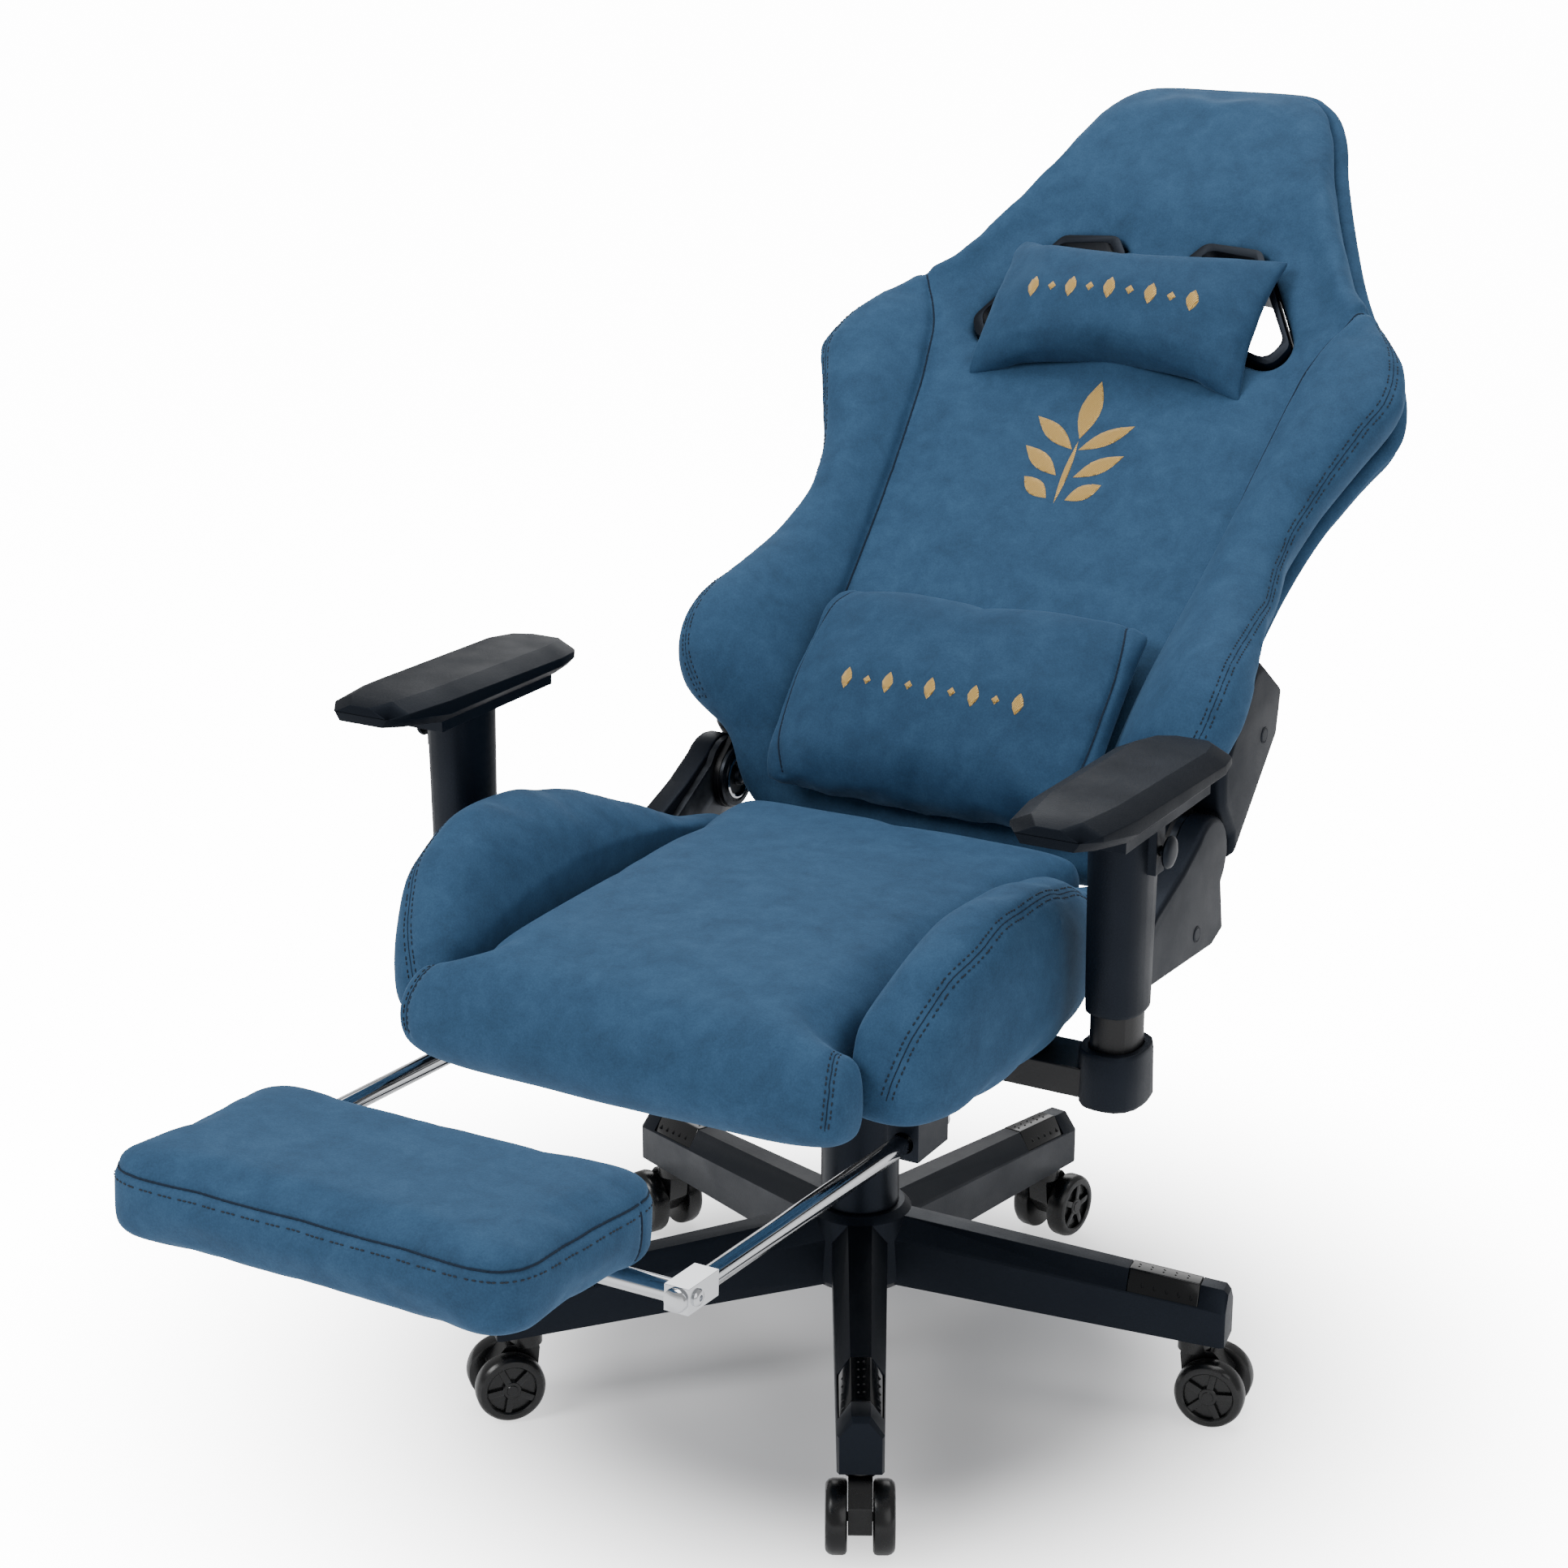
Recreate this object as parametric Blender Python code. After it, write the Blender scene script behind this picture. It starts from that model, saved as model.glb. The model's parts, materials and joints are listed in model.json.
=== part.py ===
"""A reclining gaming chair with a pull-out footrest, on a five-arm base with twin-wheel casters.

Metres, +Z up. The origin is on the floor under the swivel column. The chair faces -Y,
so the sitter's left side is at +X. It is drawn reclined, with the footrest pulled out.
"""
import bpy
import bmesh
from math import cos, sin, tan, pi, radians
from mathutils import Matrix, Vector

# General fits
TOUCH = 0.0004          # gap between two pieces that rest on each other
RUNNING = 0.0006        # radial gap round a piece that turns or slides
PLAY = 0.0015           # gap between pieces that move past each other

# Five-arm base
ARM_COUNT = 5
FIRST_ARM = 28.4        # degrees from -Y towards +X
ARM_REACH = 0.328
ARM_ROOT = 0.034
# Sections: half width, underside, shoulder, ridge, half ridge
ARM_ROOT_SECTION = (0.0240, 0.088, 0.130, 0.149, 0.0105)
ARM_END_SECTION = (0.0188, 0.073, 0.105, 0.122, 0.0076)
HUB_BOTTOM = 0.085
HUB_TOP = 0.154
CAP_START = ARM_REACH - 0.085
CAP_END = ARM_REACH - 0.024
CAP_DEPTH = 0.004
CAP_RIM = 0.0015

# Casters
STEM_REACH = ARM_REACH - 0.028
STEM_RADIUS = 0.0055
STEM_TOP = 0.104
WHEEL_RADIUS = 0.030
WHEEL_WIDTH = 0.0175
WHEEL_GAP = 0.0205
CASTER_TRAIL = 0.018
AXLE_RADIUS = 0.0038
NECK_RADIUS = 0.0145

# Gas column
CYLINDER_RADIUS = 0.025
HUB_RADIUS = CYLINDER_RADIUS + 0.023
CYLINDER_BOTTOM = 0.070
CYLINDER_TOP = 0.300
PISTON_RADIUS = 0.014
PISTON_TOP = 0.358
COVER_RADIUS = CYLINDER_RADIUS + 0.009
COVER_WALL = 0.0016
LOWER_COVER_TOP = 0.318

# Tilt mechanism
HOUSING_HALF = 0.068
HOUSING_FRONT = -0.128
HOUSING_REAR = 0.118
HOUSING_BOTTOM = 0.336
TILT_Y = -0.050
TILT_Z = 0.372
TILT_PIN = 0.005
LUG_WALL = 0.005
LIFT_LEVER_Y = 0.062    # behind the rods' ends when the footrest is stowed
LIFT_LEVER_Z = 0.352
KNOB_Y = -0.105
KNOB_RADIUS = 0.022
KNOB_DEPTH = 0.034

# Seat
SEAT_HALF = 0.168
SEAT_FRONT = -0.343
SEAT_REAR = 0.128
FRAME_BOTTOM = 0.402
FRAME_WALL = 0.016
CUSHION_TOP = 0.478
CUSHION_REAR = 0.098    # leaves room for the back's foot to swing
FRONT_ROLL = -0.414
FRONT_ROLL_HALF = 0.203
FRONT_ROLL_BOTTOM = 0.3880
BOLSTER_BOTTOM = 0.4035

# Back
BACK_LEAN = 45.0        # degrees from upright
PIVOT_Y = 0.156
PIVOT_Z = 0.462
TAB_INNER = 0.2160
TAB_WALL = 0.006
PLATE_WALL = 0.006
PLATE_RADIUS = 0.036    # round top of the seat-side steel plate
COVER_OUTER = 0.2515
PIVOT_RADIUS = 0.008
TAB_RADIUS = 0.030
JOINT_RADIUS = 0.037    # round top of the seat-side cover
HOLE_GAP = 0.0006
TRIM_WALL = 0.010

# Armrests
ARMREST_X = 0.300
ARMREST_Y = -0.150
POST_HALF = (0.0187, 0.0235)                                # half sizes in X and Y
SLEEVE_HALF = (POST_HALF[0] + 0.0040, POST_HALF[1] + 0.0053)
COLLAR_HALF = (POST_HALF[0] + 0.0071, POST_HALF[1] + 0.0087)
BEAM_HALF = 0.026
BEAM_DEPTH = 0.024
COLLAR_BOTTOM = 0.372
COLLAR_TOP = 0.418
SLEEVE_BOTTOM = 0.447
SLEEVE_TOP = 0.6005
POST_TOP = SLEEVE_TOP - 0.0445
PAD_BOTTOM = SLEEVE_TOP + 0.0075
PAD_TOP = PAD_BOTTOM + 0.028
BUTTON_Z = SLEEVE_TOP - 0.0225
BUTTON_STEM = 0.0035
BUTTON_RADIUS = 0.0125

# Footrest
ROD_X = 0.195
ROD_RADIUS = 0.008
ROD_RISE = 3.0          # degrees up towards the front
CROSSBAR_Y = -0.612
CROSSBAR_Z = 0.386
END_BLOCK = ROD_RADIUS + 0.0015
GUIDE_Y = (-0.300, -0.250)
GUIDE_HALF = ROD_RADIUS + 0.005
GUIDE_BOTTOM = 0.356
ROD_LENGTH = GUIDE_Y[1] + 0.014 - CROSSBAR_Y    # the rods end just behind their guides
FOOT_PAD_HALF = 0.168
FOOT_PAD_DEPTH = 0.192
FOOT_PAD_THICK = 0.060
FOOT_PAD_REAR = 0.026   # behind the crossbar
FOOT_PAD_RISE = 4.6     # degrees up towards the front
SADDLE_X = 0.085        # the bracket's two saddles on the crossbar
SADDLE_HALF = 0.016
SADDLE_WALL = 0.0018

FABRIC = "#2F5A80"
BLACK = "#1C1E22"


def clear_scene():
    for obj in list(bpy.data.objects):
        bpy.data.objects.remove(obj, do_unlink=True)


def linear(code):
    """The linear colour of an sRGB hex code."""
    parts = [int(code[i:i + 2], 16) / 255 for i in (1, 3, 5)]
    return [c / 12.92 if c <= 0.04045 else ((c + 0.055) / 1.055) ** 2.4 for c in parts] + [1.0]


def finish(name, code, roughness, metallic=0.0):
    """A plain Principled material of this colour."""
    material = bpy.data.materials.new(name)
    material.use_nodes = True
    shader = material.node_tree.nodes["Principled BSDF"]
    shader.inputs["Base Color"].default_value = linear(code)
    shader.inputs["Roughness"].default_value = roughness
    shader.inputs["Metallic"].default_value = metallic
    return material


def empty(name, place, turn=(0.0, 0.0, 0.0), parent=None):
    """An axis marker that pieces hang from."""
    marker = bpy.data.objects.new(name, None)
    marker.location = place
    marker.rotation_euler = turn
    marker.parent = parent
    bpy.context.scene.collection.objects.link(marker)
    return marker


def part(name, shape, look, parent=None, crease=32.0):
    """Puts a shape into the scene as a named piece with its own material."""
    mesh = bpy.data.meshes.new(name)
    shape.to_mesh(mesh)
    shape.free()
    mesh.shade_smooth()
    mesh.set_sharp_from_angle(angle=radians(crease))
    mesh.materials.append(finish(name, *look))
    piece = bpy.data.objects.new(name, mesh)
    piece.parent = parent
    bpy.context.scene.collection.objects.link(piece)
    return piece


def tidy(bm):
    """Joins doubled points and turns every face outwards."""
    bmesh.ops.remove_doubles(bm, verts=bm.verts, dist=0.00001)
    bmesh.ops.recalc_face_normals(bm, faces=bm.faces)
    return bm


def joined(base, *others, operation="UNION"):
    """The mesh that is left when each other shape is added to, or taken from, the base shape."""
    helpers = []
    for number, shape in enumerate((base,) + others):
        mesh = bpy.data.meshes.new("helper")
        shape.to_mesh(mesh)
        shape.free()
        helper = bpy.data.objects.new("helper_%d" % number, mesh)
        bpy.context.scene.collection.objects.link(helper)
        helpers.append(helper)
    for other in helpers[1:]:
        step = helpers[0].modifiers.new("joined", "BOOLEAN")
        step.operation = operation
        step.solver = "EXACT"
        step.object = other
    view = bpy.context.evaluated_depsgraph_get()
    result = bmesh.new()
    result.from_mesh(helpers[0].evaluated_get(view).to_mesh())
    for helper in helpers:
        bpy.data.objects.remove(helper, do_unlink=True)
    return result


def cut(base, *others):
    return joined(base, *others, operation="DIFFERENCE")


def block(low, high):
    """A box between two corners."""
    bm = bmesh.new()
    bmesh.ops.create_cube(bm, size=1.0)
    size = [b - a for a, b in zip(low, high)]
    centre = [(a + b) / 2 for a, b in zip(low, high)]
    bmesh.ops.scale(bm, vec=size, verts=bm.verts)
    bmesh.ops.translate(bm, vec=centre, verts=bm.verts)
    return bm


def rod(start, end, radius, sides=16):
    """A round bar from start to end."""
    start = Vector(start)
    end = Vector(end)
    bm = bmesh.new()
    bmesh.ops.create_cone(bm, cap_ends=True, segments=sides, radius1=radius, radius2=radius,
                          depth=(end - start).length)
    turn = Vector((0, 0, 1)).rotation_difference(end - start).to_matrix().to_4x4()
    bmesh.ops.transform(bm, matrix=Matrix.Translation((start + end) / 2) @ turn, verts=bm.verts)
    return bm


def turned(profile, sides):
    """A solid turned about Z from a closed profile of (radius, height) points."""
    bm = bmesh.new()
    line = [bm.verts.new((radius, 0, height)) for radius, height in profile]
    edges = [bm.edges.new((line[i - 1], line[i])) for i in range(len(line))]
    bmesh.ops.spin(bm, geom=line + edges, cent=(0, 0, 0), axis=(0, 0, 1), angle=2 * pi,
                   steps=sides, use_merge=True, use_duplicate=False)
    bmesh.ops.remove_doubles(bm, verts=bm.verts, dist=0.00001)
    loose = [edge for edge in bm.edges if not edge.link_faces]
    bmesh.ops.delete(bm, geom=loose, context="EDGES")
    return tidy(bm)


def loft(rings, closed_ends=True):
    """A skin over rings of points, one ring after the other, with flat ends."""
    bm = bmesh.new()
    loops = []
    for ring in rings:
        line = [bm.verts.new(point) for point in ring]
        loops.append([bm.edges.new((line[i - 1], line[i])) for i in range(len(line))])
    if closed_ends:
        bmesh.ops.contextual_create(bm, geom=loops[0])
        bmesh.ops.contextual_create(bm, geom=loops[-1])
    for first, second in zip(loops, loops[1:]):
        for edge_a, edge_b in zip(first, second):
            bm.faces.new((edge_a.verts[0], edge_a.verts[1], edge_b.verts[1], edge_b.verts[0]))
    return tidy(bm)


def prism(outline, low, high, axis):
    """A flat outline pushed from low to high along axis 0, 1 or 2. The outline holds the other two."""
    rings = []
    for level in (low, high):
        ring = [list(point) for point in outline]
        for point in ring:
            point.insert(axis, level)
        rings.append(ring)
    return loft(rings)


def mirrored(point_list):
    """The points, then their mirror images back again, for an outline that is even about the first axis."""
    return list(point_list) + [(-across, up) for across, up in reversed(point_list)]


def between(first, last, share):
    return first + (last - first) * share


def along(table, place):
    """The row of values at this place, read straight between the rows of a table."""
    for before, after in zip(table, table[1:]):
        if place <= after[0]:
            share = (place - before[0]) / (after[0] - before[0])
            return [between(a, b, share) for a, b in zip(before[1:], after[1:])]
    return list(table[-1][1:])


def oval(half, height, sides=20, fullness=2.6, centre=(0.0, 0.0)):
    """A level ring with flattened sides, half[0] wide in X and half[1] in Y."""
    ring = []
    for number in range(sides):
        angle = 2 * pi * (number + 0.5) / sides
        reach = (abs(cos(angle)) ** fullness + abs(sin(angle)) ** fullness) ** (-1 / fullness)
        across = centre[0] + half[0] * reach * cos(angle)
        forward = centre[1] + half[1] * reach * sin(angle)
        ring.append((across, forward, height))
    return ring


def rounded_outline(points, radius, steps=4):
    """An outline whose corners are arcs. Each corner's arc is limited by its own sides."""
    outline = []
    count = len(points)
    for number in range(count):
        corner = Vector(points[number])
        before = Vector(points[number - 1]) - corner
        after = Vector(points[(number + 1) % count]) - corner
        half_angle = before.angle(after) / 2
        setback = min(radius / tan(half_angle), before.length / 2.1, after.length / 2.1)
        round_radius = setback * tan(half_angle)
        inwards = (before.normalized() + after.normalized()).normalized()
        middle = corner + inwards * (round_radius / sin(half_angle))
        first = corner + before.normalized() * setback - middle
        sweep = first.angle_signed(corner + after.normalized() * setback - middle)
        for step in range(steps + 1):
            turn = Matrix.Rotation(-sweep * step / steps, 2)
            outline.append(tuple(middle + turn @ first))
    return outline


def arm_turn(number):
    """The turn about Z that brings +X onto base arm number."""
    return radians(FIRST_ARM - 90 + number * 360 / ARM_COUNT)


def arm_section(reach):
    share = (reach - ARM_ROOT) / (ARM_REACH - ARM_ROOT)
    return [between(a, b, share) for a, b in zip(ARM_ROOT_SECTION, ARM_END_SECTION)]


def arm_shape():
    """One base arm along +X, with sloped shoulders and a narrow flat ridge."""
    rings = []
    for reach in (ARM_ROOT, ARM_REACH - 0.004, ARM_REACH):
        half, under, shoulder, ridge, half_ridge = arm_section(reach)
        if reach == ARM_REACH:
            ridge -= 0.004
            half -= 0.002
            half_ridge -= 0.001
        side = [(half, under), (half, shoulder), (half_ridge, ridge)]
        rings.append([(reach, across, height) for across, height in mirrored(side)])
    return loft(rings)


def cap_ring(reach, side_gap, drop, lift):
    """A ring round the space of a foot cap: from drop under the arm's top surface to lift over it."""
    half, under, shoulder, ridge, half_ridge = arm_section(reach)
    edge = half - CAP_RIM + side_gap
    bottom = [(edge, shoulder - drop), (half_ridge, ridge - drop)]
    top = [(half_ridge, ridge + lift), (edge, shoulder + lift)]
    ring = [(reach, across, height) for across, height in bottom]
    ring += [(reach, -across, height) for across, height in reversed(bottom)]
    ring += [(reach, -across, height) for across, height in reversed(top)]
    return ring + [(reach, across, height) for across, height in top]


def star_base():
    """The moulded base: a hub with five arms, a tapered bore, cap recesses and stem sockets."""
    inner = CYLINDER_RADIUS + TOUCH
    hub = turned([(inner, HUB_BOTTOM), (HUB_RADIUS - 0.004, HUB_BOTTOM), (HUB_RADIUS, HUB_BOTTOM + 0.006),
                  (HUB_RADIUS - 0.003, HUB_TOP - 0.006), (HUB_RADIUS - 0.009, HUB_TOP), (inner, HUB_TOP)], 40)
    arms = []
    hollows = []
    for number in range(ARM_COUNT):
        turn = Matrix.Rotation(arm_turn(number), 4, "Z")
        cap = loft([cap_ring(CAP_START - TOUCH, TOUCH, CAP_DEPTH + 3 * TOUCH, 0.010),
                    cap_ring(CAP_END + TOUCH, TOUCH, CAP_DEPTH + 3 * TOUCH, 0.010)])
        socket = rod((STEM_REACH, 0, 0.060), (STEM_REACH, 0, STEM_TOP + RUNNING), STEM_RADIUS + RUNNING, 12)
        for shape, group in ((arm_shape(), arms), (cap, hollows), (socket, hollows)):
            bmesh.ops.transform(shape, matrix=turn, verts=shape.verts)
            group.append(shape)
    bore = rod((0, 0, HUB_BOTTOM - 0.02), (0, 0, HUB_TOP + 0.02), inner, 40)
    shape = cut(joined(hub, *arms), bore, *hollows)
    part("star_base", shape, (BLACK, 0.55))


def foot_caps():
    for number in range(ARM_COUNT):
        cap = loft([cap_ring(CAP_START, 0, CAP_DEPTH, 0.0006), cap_ring(CAP_END, 0, CAP_DEPTH, 0.0006)])
        turn = Matrix.Rotation(arm_turn(number), 3, "Z")
        bmesh.ops.rotate(cap, cent=(0, 0, 0), matrix=turn, verts=cap.verts)
        part("foot_cap_%d" % (number + 1), cap, ("#101114", 0.12))


def caster_fork():
    """The swivelling middle of a caster: stem, neck, web and axle in one. +X is the way it trails."""
    web_half = WHEEL_GAP / 2 - RUNNING
    web = prism(rounded_outline([(-0.011, 0.064), (0.018, 0.064), (CASTER_TRAIL + 0.016, 0.046),
                                 (CASTER_TRAIL + 0.013, 0.019), (CASTER_TRAIL - 0.006, 0.017),
                                 (-0.008, 0.038)], 0.005, 3), -web_half, web_half, 1)
    neck = rod((0, 0, 0.0612), (0, 0, 0.0722), NECK_RADIUS, 20)
    stem = rod((0, 0, 0.060), (0, 0, STEM_TOP), STEM_RADIUS, 12)
    axle_half = WHEEL_GAP / 2 + WHEEL_WIDTH - 0.003
    axle = rod((CASTER_TRAIL, -axle_half, WHEEL_RADIUS), (CASTER_TRAIL, axle_half, WHEEL_RADIUS),
               AXLE_RADIUS, 12)
    return joined(web, neck, stem, axle)


def caster_wheel(side):
    """One wheel of a pair, on its axle, with a recessed outer face."""
    inner = WHEEL_GAP / 2
    outer = inner + WHEEL_WIDTH
    bore = AXLE_RADIUS + RUNNING
    shape = turned([(bore, inner), (WHEEL_RADIUS - 0.003, inner), (WHEEL_RADIUS, inner + 0.0035),
                    (WHEEL_RADIUS, outer - 0.0045), (WHEEL_RADIUS - 0.0035, outer), (0.0215, outer),
                    (0.0200, outer - 0.0022), (bore, outer - 0.0022)], 20)
    turn = Matrix.Rotation(-side * pi / 2, 3, "X")
    bmesh.ops.rotate(shape, cent=(0, 0, 0), matrix=turn, verts=shape.verts)
    return shape


def casters():
    for number in range(ARM_COUNT):
        turn = arm_turn(number)
        place = (STEM_REACH * cos(turn), STEM_REACH * sin(turn), 0)
        stem = empty("caster_stem_%d" % (number + 1), place, (0, 0, turn))
        hub = empty("caster_hub_%d" % (number + 1), (CASTER_TRAIL, 0, WHEEL_RADIUS), parent=stem)
        part("caster_fork_%d" % (number + 1), caster_fork(), ("#141518", 0.30), stem)
        part("caster_wheel_left_%d" % (number + 1), caster_wheel(1), ("#101114", 0.25), hub)
        part("caster_wheel_right_%d" % (number + 1), caster_wheel(-1), ("#101114", 0.25), hub)


def gas_column():
    """Cylinder in the hub, piston up to the mechanism, and two covers that slide over one another."""
    bore = PISTON_RADIUS + RUNNING
    part("gas_cylinder", turned([(0, CYLINDER_BOTTOM), (CYLINDER_RADIUS - 0.002, CYLINDER_BOTTOM),
                                 (CYLINDER_RADIUS, CYLINDER_BOTTOM + 0.002), (CYLINDER_RADIUS, CYLINDER_TOP),
                                 (bore, CYLINDER_TOP), (bore, CYLINDER_BOTTOM + 0.012),
                                 (0, CYLINDER_BOTTOM + 0.012)], 32), ("#26282C", 0.35, 0.6))
    part("gas_piston", turned([(0, CYLINDER_BOTTOM + 0.025), (PISTON_RADIUS, CYLINDER_BOTTOM + 0.025),
                               (PISTON_RADIUS, PISTON_TOP - 0.004), (PISTON_RADIUS - 0.003, PISTON_TOP),
                               (0, PISTON_TOP)], 24), ("#9EA2A8", 0.2, 1.0))
    outer = COVER_RADIUS
    part("column_cover_lower", turned([(outer - COVER_WALL, HUB_TOP + TOUCH), (outer, HUB_TOP + TOUCH),
                                       (outer, LOWER_COVER_TOP), (outer - COVER_WALL, LOWER_COVER_TOP)], 36),
         (BLACK, 0.4))
    upper = outer - COVER_WALL - RUNNING
    bottom = HUB_TOP + 0.012
    top = HOUSING_BOTTOM - PLAY
    part("column_cover_upper", turned([(upper - COVER_WALL, bottom), (upper, bottom), (upper, top),
                                       (upper - COVER_WALL, top)], 36), (BLACK, 0.4))


def mechanism():
    """The rocking mechanism under the seat, with its lift lever and its tension knob."""
    side = [(HOUSING_FRONT, HOUSING_BOTTOM + 0.008), (HOUSING_FRONT + 0.010, HOUSING_BOTTOM),
            (HOUSING_REAR - 0.008, HOUSING_BOTTOM), (HOUSING_REAR, HOUSING_BOTTOM + 0.008),
            (HOUSING_REAR, HOUSING_BOTTOM + 0.022), (TILT_Y + 0.030, TILT_Z + 0.013),
            (TILT_Y - 0.010, TILT_Z + 0.016), (HOUSING_FRONT, TILT_Z)]
    body = prism(side, -HOUSING_HALF, HOUSING_HALF, 0)
    socket = rod((0, 0, HOUSING_BOTTOM - 0.01), (0, 0, PISTON_TOP + TOUCH), PISTON_RADIUS + TOUCH, 24)
    pin_bore = rod((-0.1, TILT_Y, TILT_Z), (0.1, TILT_Y, TILT_Z), TILT_PIN + RUNNING, 16)
    part("mechanism_housing", cut(body, socket, pin_bore), ("#202226", 0.45, 0.3))

    lever_pivot = empty("lift_lever_pivot", (-HOUSING_HALF - PLAY, LIFT_LEVER_Y, LIFT_LEVER_Z))
    paddle = rounded_outline([(-0.170, -0.010), (-0.205, -0.022), (-0.205, 0.020), (-0.170, 0.010)], 0.008, 3)
    grip = prism(paddle, -0.004, 0.004, 2)
    part("lift_lever", joined(rod((0, 0, 0), (-0.185, 0, 0), 0.0045, 12), grip), (BLACK, 0.4), lever_pivot)

    lobes = []
    for number in range(32):
        angle = 2 * pi * number / 32
        reach = KNOB_RADIUS - 0.0015 * (1 + cos(8 * angle)) / 2
        lobes.append((reach * cos(angle), reach * sin(angle)))
    knob_axis = empty("tension_knob_axis", (0, KNOB_Y, 0))
    knob = prism(lobes, HOUSING_BOTTOM - KNOB_DEPTH, HOUSING_BOTTOM - RUNNING, 2)
    part("tension_knob", knob, (BLACK, 0.5), knob_axis)


def seat_frame():
    """The steel seat frame: a pressed plate with windows, and the lugs and pin of the tilt pivot."""
    top = FRAME_BOTTOM + FRAME_WALL
    plate = block((-SEAT_HALF, SEAT_FRONT, FRAME_BOTTOM), (SEAT_HALF, SEAT_REAR, top))
    low = FRAME_BOTTOM - 0.01
    high = top + 0.01
    front_window = block((-SEAT_HALF + 0.028, SEAT_FRONT + 0.035, low), (SEAT_HALF - 0.028, -0.190, high))
    left_window = block((0.095, -0.105, low), (SEAT_HALF - 0.022, 0.020, high))
    right_window = block((-SEAT_HALF + 0.022, -0.105, low), (-0.095, 0.020, high))
    lug_in = HOUSING_HALF + PLAY
    lug_out = lug_in + LUG_WALL
    lugs = []
    for low_x, high_x in ((lug_in, lug_out), (-lug_out, -lug_in)):
        outline = [(TILT_Y - 0.022, top - 0.004), (TILT_Y - 0.010, TILT_Z - 0.010),
                   (TILT_Y + 0.010, TILT_Z - 0.010), (TILT_Y + 0.022, top - 0.004)]
        lugs.append(prism(outline, low_x, high_x, 0))
    pin = rod((-lug_out - 0.002, TILT_Y, TILT_Z), (lug_out + 0.002, TILT_Y, TILT_Z), TILT_PIN, 16)
    pressed = cut(plate, front_window, left_window, right_window)
    part("seat_frame", joined(pressed, *lugs, pin), ("#22242A", 0.5, 0.4))


def seat_cushion():
    """The middle of the seat, which rolls over the frame's front edge between the bolsters' ends."""
    rest = FRAME_BOTTOM + FRAME_WALL + TOUCH
    middle_half = SEAT_HALF + 0.0015
    middle = prism([(CUSHION_REAR, rest), (CUSHION_REAR, CUSHION_TOP - 0.022),
                    (CUSHION_REAR - 0.014, CUSHION_TOP - 0.008), (-0.150, CUSHION_TOP),
                    (-0.310, CUSHION_TOP - 0.002), (-0.360, CUSHION_TOP - 0.010),
                    (-0.380, CUSHION_TOP - 0.030), (-0.380, rest)], -middle_half, middle_half, 0)
    roll_rear = SEAT_FRONT - 0.013
    outline = [(roll_rear, FRONT_ROLL_BOTTOM + 0.006), (roll_rear - 0.006, FRONT_ROLL_BOTTOM),
               (FRONT_ROLL + 0.020, FRONT_ROLL_BOTTOM), (FRONT_ROLL + 0.005, FRONT_ROLL_BOTTOM + 0.014),
               (FRONT_ROLL, FRONT_ROLL_BOTTOM + 0.040), (FRONT_ROLL + 0.010, CUSHION_TOP - 0.028),
               (FRONT_ROLL + 0.034, CUSHION_TOP - 0.010), (roll_rear, CUSHION_TOP - 0.012)]
    rings = []
    middle_z = (FRONT_ROLL_BOTTOM + CUSHION_TOP) / 2
    for across, share in ((-1.0, 0.72), (-0.95, 0.94), (-0.80, 1.0), (0.80, 1.0), (0.95, 0.94), (1.0, 0.72)):
        rings.append([(across * FRONT_ROLL_HALF, between(roll_rear, y, share), between(middle_z, z, share))
                      for y, z in outline])
    roll = loft(rings)
    part("seat_cushion", joined(middle, roll), (FABRIC, 0.9))


# Rows: Y, outer X, top Z
BOLSTER_ROWS = (
    (-0.355, 0.226, 0.446),
    (-0.345, 0.238, 0.484),
    (-0.310, 0.252, 0.528),
    (-0.250, 0.260, 0.551),
    (-0.170, 0.260, 0.549),
    (-0.100, 0.250, 0.531),
    (-0.030, 0.2275, 0.502),
    (0.028, 0.2205, 0.474),
    (0.092, 0.2195, 0.452),
)


def seat_bolsters():
    """The raised side wings of the seat."""
    inner = SEAT_HALF + 0.0035
    for name, side in (("left", 1), ("right", -1)):
        rings = []
        for y, outer, top in BOLSTER_ROWS:
            seam = min(CUSHION_TOP - 0.006, top - 0.006)
            width = outer - inner
            ring = [(inner, BOLSTER_BOTTOM), (inner, seam), (inner + width * 0.28, top - (top - seam) * 0.22),
                    (inner + width * 0.55, top), (outer - width * 0.12, top - 0.012), (outer, top - 0.034),
                    (outer - 0.001, BOLSTER_BOTTOM + 0.010), (outer - 0.008, BOLSTER_BOTTOM)]
            rings.append([(side * x, y, z) for x, z in ring])
        part("seat_bolster_" + name, loft(rings), (FABRIC, 0.9))


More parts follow.
